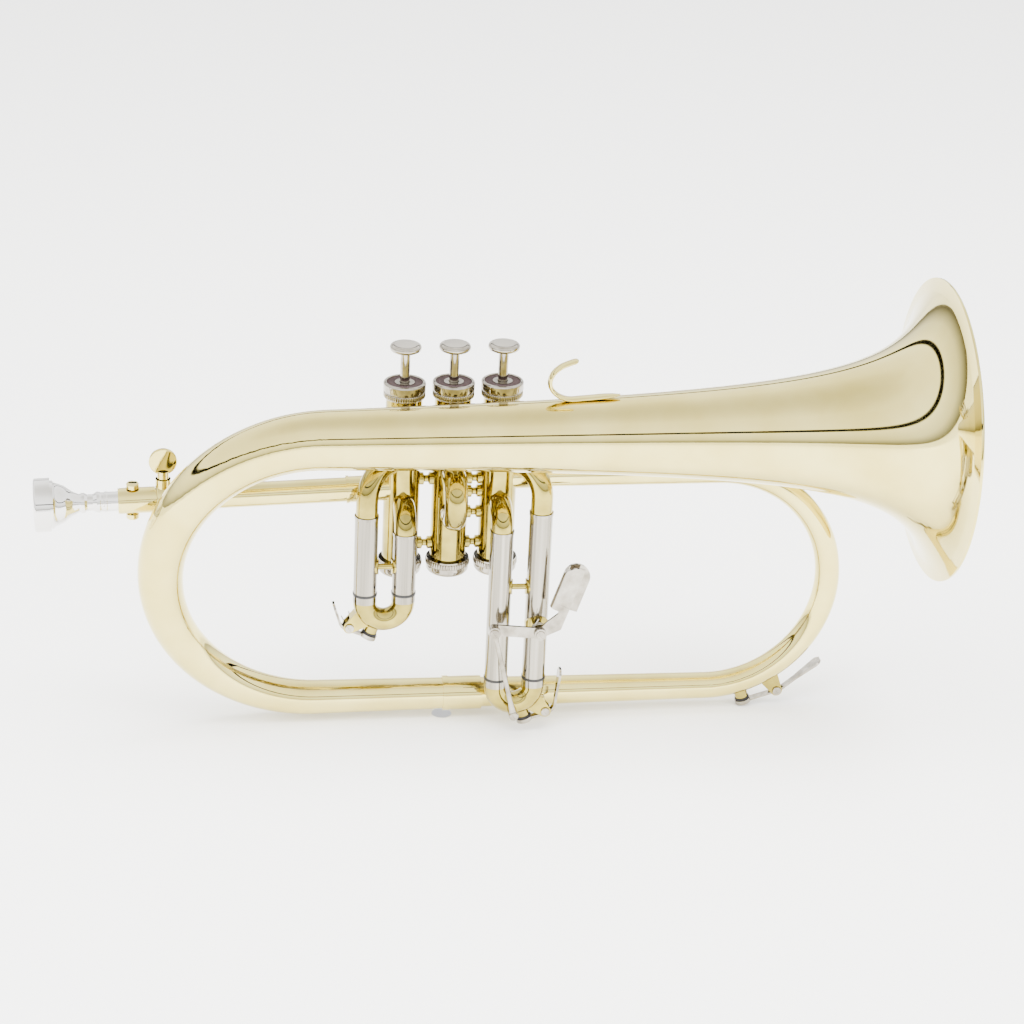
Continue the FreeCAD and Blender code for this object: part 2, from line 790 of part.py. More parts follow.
def make_slide(slide):
    """Sleeves on the horn, and the sliding legs, O-rings, ferrules and bow."""
    end = SLIDES[slide]["end"]
    stop = f"{end} - ring_stop_gap"
    ring_low = f"{stop} - ring_thickness"
    ferrule_low = f"{ring_low} - slide_ferrule_length"
    leg_radius = "leg_diameter / 2"
    bore = "leg_diameter / 2 + slide_clearance"
    outer = "sleeve_diameter / 2"
    bead = "sleeve_ring_diameter / 2"
    pieces = {"sleeves": [], "legs": [], "o_rings": [], "ferrules": []}
    for leg, (across, top, *_) in leg_places(slide).items():
        at = (across, "-slide_plane", "0")
        name = f"slide_{slide}_{leg}"
        outline = (
            (bore, end),
            (outer, end),
            (outer, f"{top} - sleeve_ring_length"),
            (bead, f"{top} - sleeve_ring_length"),
            (bead, top),
            (bore, top),
        )
        pieces["sleeves"].append(place(turned(name + "_sleeve", outline), at))
        inner = "leg_diameter / 2 - leg_wall"
        leg_top = f"{top} - sleeve_ring_length"
        pieces["legs"].append(place(tube(name + "_leg", leg_radius, inner, ferrule_low, leg_top), at))
        ring = tube(name + "_o_ring", "ring_diameter / 2", leg_radius, ring_low, stop)
        pieces["o_rings"].append(place(ring, at))
        ferrule = tube(name + "_ferrule", "slide_ferrule_diameter / 2", leg_radius, ferrule_low, ring_low)
        pieces["ferrules"].append(place(ferrule, at))
    for piece, items in pieces.items():
        node(f"slide_{slide}_{piece}", group(f"slide_{slide}_{piece}", items))


def bow_low(slide):
    """Height of a slide bow's bend centre."""
    end = SLIDES[slide]["end"]
    return f"{end} - ring_stop_gap - ring_thickness - slide_ferrule_length - slide_bow_straight"


def bow_middle(slide):
    return f"{VALVE_X[SLIDES[slide]['valve']]} + {SLIDES[slide]['side']} * slide_spacing / 2"


def slide_bend(name, slide, outer, inner=None):
    """The U of a slide's bow, hollow, or solid for trimming what is soldered to it."""
    half = "slide_spacing / 2"
    route = (
        (f"-{half}", "slide_bow_straight"),
        (f"-{half}", "0"),
        ("0", f"-{half}"),
        (half, "0"),
        (half, "slide_bow_straight"),
    )
    body = piped(name, route, {1: (half, 1), 2: (half, 1)}, outer, inner)
    return place(body, (bow_middle(slide), "-slide_plane", bow_low(slide)))


def make_first_bow():
    bend = slide_bend("slide_1_bend", 1, "slide_bow_diameter / 2", "slide_bow_diameter / 2 - slide_bow_wall")
    node("slide_1_bow", group("slide_1_bow", [bend]))


def make_third_bow():
    """The third bow carries the post that the trigger's rod turns on."""
    bend = slide_bend("slide_3_bend", 3, "slide_bow_diameter / 2", "slide_bow_diameter / 2 - slide_bow_wall")
    reach = "trigger_pivot_plane - slide_plane + rod_eye_thickness / 2 + rod_part_gap"
    post = cylinder("rod_post_pin", "rod_post_diameter / 2", reach,
                    ("rod_foot_reach", "-slide_plane", "rod_foot_height"), AGAINST_Y)
    root = cylinder("rod_post_root", "rod_root_diameter / 2",
                    "trigger_pivot_plane - slide_plane - rod_eye_thickness / 2 - rod_part_gap",
                    ("rod_foot_reach", "-slide_plane", "rod_foot_height"), AGAINST_Y)
    solid = slide_bend("slide_3_bend_trim", 3, "slide_bow_diameter / 2")
    post_cut = cut("rod_post", fuse("rod_post_whole", [post, root]), solid)
    node("slide_3_bow", group("slide_3_bow", [bend, post_cut]))


def make_slide_braces():
    """A rod between the two sleeves of each long slide, on pads that wrap the sleeves."""
    braces = []
    for slide in SLIDES:
        height = SLIDES[slide]["brace"]
        middle = f"({bow_middle(slide)})"
        rod = cylinder(f"slide_brace_{slide}_rod", "brace_rod_diameter / 2", "slide_spacing",
                       (f"{middle} - slide_spacing / 2", "-slide_plane", height), ALONG_X)
        parts = [rod]
        trims = []
        for side in (-1, 1):
            name = f"slide_brace_{slide}_{'right' if side > 0 else 'left'}"
            at = (f"{middle} + {side} * slide_spacing / 2", "-slide_plane", f"{height} - brace_pad_diameter")
            disc = cylinder(name + "_disc", "brace_pad_diameter / 2", "slide_spacing / 2",
                            (middle, "-slide_plane", height), ALONG_X if side > 0 else AGAINST_X)
            wrap = cylinder(name + "_wrap", "sleeve_diameter / 2 + brace_pad_thickness",
                            "2 * brace_pad_diameter", at)
            parts.append(common(name + "_pad", [disc, wrap]))
            trims.append(cylinder(name + "_trim", "sleeve_diameter / 2", "2 * brace_pad_diameter", at))
        whole = fuse(f"slide_brace_{slide}_whole", parts)
        braces.append(cut(f"slide_brace_{slide}", whole, fuse(f"slide_brace_{slide}_trims", trims)))
    node("slide_braces", group("slide_braces", braces))


# ---------------------------------------------------------------- second slide
def make_second_slide():
    """Two short sleeves on the second casing, and the bow that pulls straight out towards -Y."""
    heights = ("second_upper_height", "second_lower_height")
    bore = "leg_diameter / 2 + slide_clearance"
    sleeves = []
    legs = []
    for index, height in enumerate(heights):
        name = f"slide_2_sleeve_{index}"
        run = tube(name + "_run", "second_sleeve_diameter / 2", bore, "0", "second_sleeve_reach")
        place(run, ("0", "0", height), AGAINST_Y)
        sleeves.append(cut(name, run, casing_solid(name, 2)))
        leg = tube(f"slide_2_leg_{index}", "leg_diameter / 2", "leg_diameter / 2 - leg_wall", "second_leg_end",
                   "second_bow_reach")
        legs.append(place(leg, ("0", "0", height), AGAINST_Y))
    node("slide_2_sleeves", group("slide_2_sleeves", sleeves))
    half = "(second_upper_height - second_lower_height) / 2"
    lap = "second_sleeve_reach + ring_stop_gap"
    name = "slide_2_bend"
    route = (
        (f"-{half}", lap),
        (f"-{half}", "second_bow_reach"),
        ("0", f"second_bow_reach + {half}"),
        (half, "second_bow_reach"),
        (half, lap),
    )
    body = piped(name, route, {1: (half, -1), 2: (half, -1)}, "slide_bow_diameter / 2", "leg_diameter / 2")
    outward = Rotation(Vector(1, 0, 0), 90).multiply(Rotation(Vector(0, 0, 1), 90))
    place(body, ("0", "0", "(second_upper_height + second_lower_height) / 2"), outward)
    node("slide_2_bow", fuse("slide_2_bow", [body] + legs))


# ---------------------------------------------------------------- bell and main bow
BELL_STATIONS = 22
BEND_RINGS = 24
SPRING_CHORDS = 18
SPRING_SIDES = 6


def bell_radius(x):
    """Bessel-horn law: the radius falls with a power of the distance from the mouth."""
    flare = number("bell_flare_length")
    distance = number("bell_mouth - bell_bead_radius") - x
    return number("bell_mouth_radius") * (flare / (distance + flare)) ** number("bell_flare_power")


def bell_stations():
    """Stations from tail to mouth, spaced closer as the flare opens."""
    mouth = number("bell_mouth - bell_bead_radius")
    length = mouth - number("tail_centre")
    crowding = 2.2
    return [mouth - length * (1 - step / BELL_STATIONS) ** crowding for step in range(BELL_STATIONS + 1)]


def bell_profile(shrink):
    points = [Vector(x, 0, bell_radius(x) - shrink) for x in bell_stations()]
    curve = Part.BSplineCurve()
    curve.interpolate(points)
    return curve.toShape()


def bell_turned(inner_shrink):
    """Turn the wall's section about the bell's axis; a full shrink gives a solid for trimming."""
    outside = bell_profile(0)
    if inner_shrink is None:
        ends = [vertex.Point for vertex in outside.Vertexes]
        edges = [outside,
                 Part.makeLine(ends[1], Vector(ends[1].x, 0, 0)),
                 Part.makeLine(Vector(ends[1].x, 0, 0), Vector(ends[0].x, 0, 0)),
                 Part.makeLine(Vector(ends[0].x, 0, 0), ends[0])]
    else:
        inside = bell_profile(inner_shrink)
        outer_ends = [vertex.Point for vertex in outside.Vertexes]
        inner_ends = [vertex.Point for vertex in inside.Vertexes]
        edges = [outside, Part.makeLine(outer_ends[1], inner_ends[1]), inside,
                 Part.makeLine(inner_ends[0], outer_ends[0])]
    face = Part.Face(Part.Wire(Part.__sortEdges__(edges)))
    solid = face.revolve(Vector(0, 0, 0), Vector(1, 0, 0), 360)
    solid.translate(Vector(0, -number("bell_plane"), number("bell_height")))
    return solid


def make_bell():
    """Flare and stem, with the wired bead round the mouth faced off flat at the very front."""
    bead = Part.makeTorus(number("bell_mouth_radius"), number("bell_bead_radius"))
    facing = Part.makeCylinder(2 * number("bell_mouth_radius"), number("bell_bead_radius"), Vector(0, 0, 0))
    facing.translate(Vector(0, 0, number("bell_bead_radius - bell_bead_flat")))
    bead = bead.cut(facing)
    bead.Placement = Placement(
        Vector(number("bell_mouth - bell_bead_radius + bell_bead_flat"), -number("bell_plane"), number("bell_height")),
        ALONG_X,
    )
    node("bell", moulded("bell", bell_turned(number("bell_wall")).fuse(bead).removeSplitter()))


def bend_core(stations, shrink):
    """Loft a solid through rings given as (centre, tangent, outer radius)."""
    rings = [Part.Wire(Part.makeCircle(radius - shrink, centre, tangent))
             for centre, tangent, radius in stations]
    return Part.makeLoft(rings, True, False)


def run_core(start, end, shrink):
    """A straight stretch between two rings: a cone, or a cylinder where the tube doesn't taper."""
    length = (end[0] - start[0]).Length
    if abs(start[2] - end[2]) < 1e-6:
        return Part.makeCylinder(start[2] - shrink, length, start[0], start[1])
    return Part.makeCone(start[2] - shrink, end[2] - shrink, length, start[0], start[1])


def tail_frame():
    """The tail's half circle joins the bell's axis to the bottom tube's axis, in a leaning plane."""
    top = Vector(0, -number("bell_plane"), number("bell_height"))
    low = Vector(0, 0, number("bow_height"))
    return (top + low) / 2, (top - low) / 2


def tail_core(shrink=0.0):
    """Half circle, then the straight run to the ferrule; the tube narrows all the way."""
    centre, up = tail_frame()
    radius = up.Length
    bend = math.pi * radius
    start = Vector(number("tail_centre"), 0, 0)
    length = bend + number("tail_end - tail_centre")
    wide = bell_radius(number("tail_centre"))
    narrow = number("tail_end_diameter / 2")

    def ring_radius(run):
        return wide - (wide - narrow) * (1 - (1 - run / length) ** number("tail_taper_power"))

    stations = []
    for step in range(BEND_RINGS + 1):
        angle = math.pi * step / BEND_RINGS
        outward = Vector(-1, 0, 0) * math.sin(angle) * radius
        point = start + centre + outward + up * math.cos(angle)
        tangent = Vector(-1, 0, 0) * math.cos(angle) - up * (math.sin(angle) / radius)
        stations.append((point, tangent, ring_radius(radius * angle)))
    low = Vector(number("tail_centre"), 0, number("bow_height"))
    first = (low, Vector(1, 0, 0), ring_radius(bend))
    last = (low + Vector(number("tail_end - tail_centre"), 0, 0), Vector(1, 0, 0), narrow)
    return bend_core(stations, shrink).fuse(run_core(first, last, shrink))


def bow_core(shrink=0.0):
    """Straight from the ferrule, round the half circle, and straight back to the third valve."""
    low = number("bow_height")
    high = number("outlet_height")
    radius = (high - low) / 2
    turn = number("bow_centre")
    first = number("bow_start_diameter / 2")
    second = number("bow_bend_diameter / 2")
    third = number("bow_end_diameter / 2")
    stations = []
    for step in range(BEND_RINGS + 1):
        angle = math.pi * step / BEND_RINGS
        point = Vector(turn + radius * math.sin(angle), 0, low + radius - radius * math.cos(angle))
        tangent = Vector(math.cos(angle), 0, math.sin(angle))
        stations.append((point, tangent, second + (third - second) * step / BEND_RINGS))
    start = (Vector(number("tail_end"), 0, low), Vector(1, 0, 0), first)
    end = (Vector(number("valve_pitch"), 0, high), Vector(-1, 0, 0), third)
    outlet = (stations[-1][0], Vector(-1, 0, 0), third)
    runs = [run_core(start, (stations[0][0], stations[0][1], second), shrink), run_core(outlet, end, shrink)]
    return bend_core(stations, shrink).fuse(runs)


def make_tail():
    tail = tail_core().cut(tail_core(number("tail_wall")))
    node("bell_tail", moulded("bell_tail", tail))


def make_main_bow():
    whole = moulded("main_bow_whole", bow_core().cut(bow_core(number("bow_wall"))))
    node("main_bow", cut("main_bow", whole, casing_solid("main_bow", 3)))


def make_ferrules():
    """Reinforcing sleeves over the joints: bell tail, third valve outlet, first valve inlet."""
    outer = "bell_ferrule_diameter / 2"
    ring = "bell_ferrule_ring_diameter / 2"
    outline = (
        ("bow_start_diameter / 2", "0"),
        (ring, "0"),
        (ring, "bell_ferrule_ring"),
        (outer, "bell_ferrule_ring"),
        (outer, "bell_ferrule_length"),
        ("bow_start_diameter / 2", "bell_ferrule_length"),
    )
    blank = place(turned("bell_ferrule_blank", outline), ("tail_end", "0", "bow_height"), ALONG_X)
    core = moulded("bell_ferrule_core", bow_core())
    bell_ferrule = cut("bell_ferrule", blank, core)

    step = "bow_end_diameter / 2"
    run = tube("outlet_ferrule_run", "outlet_ferrule_diameter / 2", step, "0",
               "casing_diameter / 2 + outlet_ferrule_length")
    place(run, ("valve_pitch", "0", "outlet_height"), ALONG_X)
    outlet_ferrule = cut("outlet_ferrule", run, casing_solid("outlet_ferrule", 3))

    bore = "leadpipe_sleeve_diameter / 2"
    wide = "leadpipe_ferrule_diameter / 2"
    lip = "leadpipe_ferrule_ring_diameter / 2"
    outline = (
        (bore, "valve_pitch"),
        (wide, "valve_pitch"),
        (wide, "leadpipe_ferrule_end - leadpipe_ferrule_ring_diameter / 10"),
        (lip, "leadpipe_ferrule_end - leadpipe_ferrule_ring_diameter / 10"),
        (lip, "leadpipe_ferrule_end"),
        (bore, "leadpipe_ferrule_end"),
    )
    inlet = pitched(turned("inlet_ferrule_run", outline))
    inlet_ferrule = cut("inlet_ferrule", inlet, casing_solid("inlet_ferrule", 1))
    node("tube_ferrules", group("tube_ferrules", [bell_ferrule, outlet_ferrule, inlet_ferrule]))


# ---------------------------------------------------------------- leadpipe and mouthpiece
def pitched(item):
    """Lay a turned piece along the leadpipe's axis, which drops a little away from the valves."""
    place(item, ("0", "0", "0"), Rotation(Vector(0, 1, 0), -90 - number("leadpipe_pitch")))
    bind(item, "Placement.Rotation.Angle", "(270 - leadpipe_pitch) * 1 deg")
    return item


def lead_at(station, above="0"):
    """A point above a station of the leadpipe's axis."""
    return (f"-({station}) * cos(leadpipe_pitch * 1 deg)", "0",
            f"-({station}) * sin(leadpipe_pitch * 1 deg) + {above}")


def make_leadpipe():
    slide_bore = "leadpipe_diameter / 2 + slide_clearance"
    run = pitched(tube("leadpipe_sleeve_run", "leadpipe_sleeve_diameter / 2", slide_bore, "valve_pitch",
                       "leadpipe_sleeve_end"))
    node("leadpipe_sleeve", cut("leadpipe_sleeve", run, casing_solid("leadpipe_sleeve", 1)))

    receiver_start = "leadpipe_sleeve_end + clamp_length + receiver_gap"
    pipe = tube("leadpipe", "leadpipe_diameter / 2", "leadpipe_bore / 2", "leadpipe_inner_end",
                f"{receiver_start} + receiver_socket")
    node("leadpipe", pitched(pipe))

    outer = "receiver_diameter / 2"
    shank = "mouthpiece_shank_diameter / 2 + shank_clearance"
    shank_taper = "(mouthpiece_shank_diameter - mouthpiece_shank_end_diameter) / 2 / mouthpiece_insert"
    socket = f"{receiver_start} + receiver_socket"
    narrow = f"{shank} - {shank_taper} * (receiver_end - ({socket}))"
    outline = (
        ("leadpipe_diameter / 2", receiver_start),
        (outer, receiver_start),
        (outer, "knob_station + knob_diameter"),
        (f"{outer} - receiver_groove", "knob_station + knob_diameter"),
        (f"{outer} - receiver_groove", "knob_station + knob_diameter + receiver_groove"),
        (outer, "knob_station + knob_diameter + receiver_groove"),
        (outer, "receiver_end"),
        (shank, "receiver_end"),
        (narrow, socket),
        ("leadpipe_diameter / 2", socket),
    )
    rounds = (("receiver_edge", ((outer, "receiver_end"),)),)
    node("receiver", pitched(turned("receiver", outline, rounds)))


def make_knobs():
    """Two round pulls, above and below the receiver."""
    knobs = []
    foot = "receiver_diameter / 2 - knob_sink"
    neck = "knob_neck_diameter / 2"
    head = "knob_diameter / 2"
    low = "receiver_diameter / 2 + knob_neck"
    high = f"{low} + knob_height"
    outline = (("0", foot), (neck, foot), (neck, low), (head, low), (head, high), ("0", high))
    for name, turn in (("upper_pull", UPRIGHT), ("lower_pull", DOWNWARD)):
        knob = turned(name + "_turned", outline, (("knob_edge", ((head, high),)),))
        place(knob, lead_at("knob_station"), turn)
        shell = pitched(cylinder(name + "_trim", "receiver_diameter / 2", "receiver_end"))
        knobs.append(cut(name, knob, shell))
    node("pull_knobs", group("pull_knobs", knobs))


def make_clamp():
    """A split collar at the sleeve's end, with the boss for the vertical thumb screw."""
    middle = "leadpipe_sleeve_end + clamp_length / 2"
    bore = "leadpipe_diameter / 2 + slide_clearance"
    outer = "clamp_diameter / 2"
    ring = pitched(turned("clamp_ring", (
        (bore, "leadpipe_sleeve_end"),
        (outer, "leadpipe_sleeve_end"),
        (outer, "leadpipe_sleeve_end + clamp_length"),
        (bore, "leadpipe_sleeve_end + clamp_length"),
    ), (("clamp_edge", ((outer, "leadpipe_sleeve_end"), (outer, "leadpipe_sleeve_end + clamp_length"))),)))
    boss = cylinder("clamp_boss", "clamp_boss_diameter / 2", "clamp_boss_height", lead_at(middle))
    core = pitched(cylinder("clamp_core", bore, "receiver_end"))
    lapped = pitched(cylinder("clamp_trim", "leadpipe_sleeve_diameter / 2", "leadpipe_sleeve_end"))
    hole = cylinder("clamp_hole", "screw_diameter / 2 + screw_clearance", "2 * clamp_boss_height",
                    lead_at(middle))
    solid = cut("clamp_solid", fuse("clamp_whole", [ring, boss]), group("clamp_cores", [core, lapped]))
    node("clamp_collar", cut("clamp_collar", solid, hole))

    thread = "screw_diameter / 2"
    shank = "screw_shank_diameter / 2"
    tip = "leadpipe_diameter / 2 + screw_tip_gap"
    seat = "clamp_boss_height + rod_part_gap"
    neck = turned("thumb_screw_neck", (
        ("0", tip),
        (thread, tip),
        (thread, seat),
        (shank, seat),
        (shank, "screw_head_height - screw_head_diameter / 2 + screw_head_lap"),
        ("0", "screw_head_height - screw_head_diameter / 2 + screw_head_lap"),
    ))
    place(neck, lead_at(middle))
    head = turned("thumb_screw_head", (
        ("0", "-screw_head_thickness / 2"),
        ("screw_head_diameter / 2", "-screw_head_thickness / 2"),
        ("screw_head_diameter / 2", "screw_head_thickness / 2"),
        ("0", "screw_head_thickness / 2"),
    ), (("screw_head_edge", (("screw_head_diameter / 2", "-screw_head_thickness / 2"),
                 ("screw_head_diameter / 2", "screw_head_thickness / 2"))),))
    place(head, lead_at(middle, "screw_head_height"), AGAINST_Y)
    node("thumb_screw", fuse("thumb_screw", [neck, head]))


def make_mouthpiece():
    """Rim, cup, beads and tapered shank outside; cup, throat and backbore inside."""
    rim = "mouthpiece_rim_diameter / 2"
    cup = "mouthpiece_cup_diameter / 2"
    throat = "mouthpiece_throat / 2"
    shank = "mouthpiece_shank_diameter / 2"
    tip = "receiver_end - mouthpiece_insert"
    band = "mouthpiece_rim - mouthpiece_band"
    outside = (
        ("mouthpiece_shank_end_diameter / 2", tip),
        (shank, "receiver_end"),
        (shank, "receiver_end + 5.2"),
        (f"{shank} + 0.25", "receiver_end + 5.6"),
        (f"{shank} + 0.25", "receiver_end + 6.6"),
        (f"{shank} - 0.15", "receiver_end + 7"),
        (f"{shank} - 0.1", "receiver_end + 8.2"),
        (f"{shank} + 0.35", "receiver_end + 9"),
        (f"{shank} + 0.35", "receiver_end + 10.4"),
        (f"{shank} - 0.8", "receiver_end + 12.2"),
        (f"{shank} - 0.8", "receiver_end + 15"),
        (f"{shank} + 0.1", "receiver_end + 16.4"),
        (f"{shank} + 0.1", "receiver_end + 17.6"),
        (f"{shank} - 0.4", "receiver_end + 19"),
        (f"{cup} - 2.1", "receiver_end + 22.4"),
        (f"{cup} + 0.7", "receiver_end + 26"),
        (f"{cup} + 2.6", f"{band} - 2.4"),
        (f"{rim} - 1.4", f"{band} - 1.4"),
        (f"{rim} - 1.4", band),
        (rim, band),
        (rim, "mouthpiece_rim"),
    )
    inside = (
        (f"{cup} + 2", "mouthpiece_rim"),
        (cup, "mouthpiece_rim - 1.8"),
        (f"{cup} - 1", "mouthpiece_rim - mouthpiece_cup_depth * 0.35"),
        (f"{cup} - 3.4", "mouthpiece_rim - mouthpiece_cup_depth * 0.7"),
        (throat, "mouthpiece_rim - mouthpiece_cup_depth"),
        (throat, "mouthpiece_rim - mouthpiece_cup_depth - 3"),
        ("mouthpiece_exit_diameter / 2", tip),
    )
    edge = (("mouthpiece_edge", ((rim, "mouthpiece_rim"),)),)
    node("mouthpiece", pitched(turned("mouthpiece", outside + inside, edge)))


# ---------------------------------------------------------------- fittings on the bell
def make_hook():
    """Finger hook: a bent strip whose foot follows the bell."""
    turn_x = "hook_lip_curl * (1 - cos(hook_lip_turn * 1 deg))"
    turn_z = "hook_lip_curl * sin(hook_lip_turn * 1 deg)"
    left = "-hook_foot - hook_curl"
    lip_start = (f"{left} + {turn_x}", f"hook_curl + {turn_z}")
    lip_end = (
        f"{lip_start[0]} + hook_lip * sin(hook_lip_turn * 1 deg)",
        f"{lip_start[1]} + hook_lip * cos(hook_lip_turn * 1 deg)",
    )
    route = (("0", "0"), ("-hook_foot", "0"), (left, "hook_curl"), lip_start, lip_end)
    strip = piped("finger_hook_strip", route, {1: ("hook_curl", -1), 2: ("hook_lip_curl", -1)}, None,
                  start="YZ_Plane", strip=("hook_width", "hook_thickness"))
    end = number("hook_foot_end")
    rise = bell_radius(end) + number("bell_height")
    lift = f"{rise:.6f} + hook_thickness * 0.15"
    place(strip, ("hook_foot_end", "-bell_plane", lift), Rotation(Vector(0, 1, 0), -number("hook_tilt")))
    node("finger_hook", cut("finger_hook", strip, moulded("finger_hook_trim", bell_turned(None))))


def make_bell_braces():
    """Two short stays behind the bell, to the first and third casings, each with a pad at both ends."""
    stays = []
    bell = moulded("bell_brace_bell", bell_turned(None))
    for valve in (1, 3):
        name = f"bell_brace_{valve}"
        at = (VALVE_X[valve], "-bell_plane", "bell_height")
        rod = cylinder(name + "_rod", "bell_brace_diameter / 2", "bell_plane", at, ALONG_Y)
        disc = cylinder(name + "_disc", "bell_brace_pad_diameter / 2", "bell_plane", at, ALONG_Y)
        wide = f"({bell_radius(number(VALVE_X[valve])):.6f} + bell_brace_pad_thickness)"
        bell_wrap = cylinder(name + "_bell_wrap", wide, "2 * bell_brace_pad_diameter",
                             (f"{VALVE_X[valve]} - bell_brace_pad_diameter", "-bell_plane", "bell_height"), ALONG_X)
        casing_wrap = cylinder(name + "_casing_wrap", "casing_diameter / 2 + bell_brace_pad_thickness",
                               "2 * bell_brace_pad_diameter",
                               (VALVE_X[valve], "0", "bell_height - bell_brace_pad_diameter"))
        pads = [common(name + "_bell_pad", [disc, bell_wrap]),
                common(name + "_casing_pad", [disc, casing_wrap])]
        whole = fuse(name + "_whole", [rod] + pads)
        stays.append(cut(name, whole, fuse(name + "_ends", [bell, casing_solid(name, valve)])))
    node("bell_braces", group("bell_braces", stays))


# ---------------------------------------------------------------- water keys
# Each key is drawn in a frame centred on its bow's bend, with the nipple straight down and the thumb
# end towards +X, and is then turned about the bend's axis.
SLIDE_OUTER = "slide_spacing / 2 + slide_bow_diameter / 2"
KEYS = {
    "slide_1": {"outer": SLIDE_OUTER, "size": "slide", "name": "first", "flip": True},
    "slide_3": {"outer": SLIDE_OUTER, "size": "slide", "name": "third", "flip": False},
    "main": {"outer": "(outlet_height - bow_height) / 2 + bow_bend_diameter / 2", "size": "main", "name": "main",
             "flip": False},
}


def key_frame(key):
    """The key's own frame: at the bend's centre, turned about the bend's axis."""
    if key == "main":
        centre = ("bow_centre", "0", "(outlet_height + bow_height) / 2")
    else:
        slide = int(key[-1])
        centre = (bow_middle(slide), "-slide_plane", bow_low(slide))
    turn = Rotation(Vector(0, 1, 0), -number(f"{KEYS[key]['name']}_key_turn"))
    if KEYS[key]["flip"]:
        turn = Rotation(Vector(0, 0, 1), 180).multiply(turn)
    return Placement(Vector(*[number(formula) for formula in centre]), turn)


def key_placed(key, item, local=("0", "0", "0"), turn=UPRIGHT):
    """Place an item given in the key's own frame."""
    offset = Placement(Vector(*[number(formula) for formula in local]), turn)
    item.Placement = key_frame(key).multiply(offset)
    return item


def seat_core(key, name):
    """The bow as a solid, for trimming what is soldered to it."""
    if key == "main":
        return moulded(name, bow_core())
    return slide_bend(name, int(key[-1]), "slide_bow_diameter / 2")


def key_sizes(key):
    """The levels that a key's seat, cork and lever share."""
    outer = KEYS[key]["outer"]
    size = KEYS[key]["size"]
    levels = {
        "outer": outer,
        "reach": f"{size}_hinge_reach",
        "hinge": f"-({outer}) - {size}_hinge_rise",
        "nipple": f"-({outer}) - {size}_nipple_height",
    }
    levels["cork"] = f"{levels['nipple']} - cork_gap - cork_thickness"
    return levels


def make_key_seat(key):
    """Nipple over the water hole, and a saddle whose two ears hold the hinge pin."""
    levels = key_sizes(key)
    outer = levels["outer"]
    core = seat_core(key, f"{key}_seat_core")
    drop = tube(f"{key}_nipple_drop", "nipple_diameter / 2", "nipple_bore / 2", levels["nipple"],
                f"-({outer}) + nipple_sink")
    nipple = cut(f"{key}_nipple", key_placed(key, drop), core)

    drop_z = f"(-({levels['hinge']}))"
    lean = math.degrees(math.atan2(number(levels["reach"]), number(drop_z)))
    tall = f"sqrt({levels['reach']} * {levels['reach']} + {drop_z} * {drop_z})"
    depth = "key_width + 2 * key_ear_gap + 2 * key_ear_thickness"
    block = padded(f"{key}_saddle_block", (
        ("-key_ear_width / 2", f"-({tall})"),
        ("key_ear_width / 2", f"-({tall})"),
        ("key_ear_foot / 2", f"-({outer}) + nipple_sink"),
        ("-key_ear_foot / 2", f"-({outer}) + nipple_sink"),
    ), depth)
    slot = padded(f"{key}_saddle_slot", (
        ("-key_ear_foot", f"-({tall}) - key_ear_width"),
        ("key_ear_foot", f"-({tall}) - key_ear_width"),
        ("key_ear_foot", f"-({tall}) + key_ear_width / 2"),
        ("-key_ear_foot", f"-({tall}) + key_ear_width / 2"),
    ), "key_width + 2 * key_ear_gap")
    for item in (block, slot):
        key_placed(key, item, turn=Rotation(Vector(0, 1, 0), -lean))
    at = (levels["reach"], f"-({depth}) / 2", levels["hinge"])
    boss = key_placed(key, cylinder(f"{key}_saddle_boss", "key_ear_width / 2", depth), at, ALONG_Y)
    hole = key_placed(key, cylinder(f"{key}_saddle_hole", "key_pin_diameter / 2", depth), at, ALONG_Y)
    pin = key_placed(key, cylinder(f"{key}_pin", "key_pin_diameter / 2", depth), at, ALONG_Y)
    head = cylinder(f"{key}_screw_head", "key_screw_head_diameter / 2", "key_screw_head")
    if KEYS[key]["flip"]:
        key_placed(key, head, (levels["reach"], f"({depth}) / 2", levels["hinge"]), ALONG_Y)
    else:
        key_placed(key, head, at, AGAINST_Y)
    saddle = cut(f"{key}_saddle", fuse(f"{key}_saddle_whole", [block, boss]),
                 fuse(f"{key}_saddle_tools", [slot, hole, core]))
    screw = fuse(f"{key}_screw", [pin, head])
    node(f"{key}_key_seat", group(f"{key}_key_seat", [nipple, saddle, screw]))


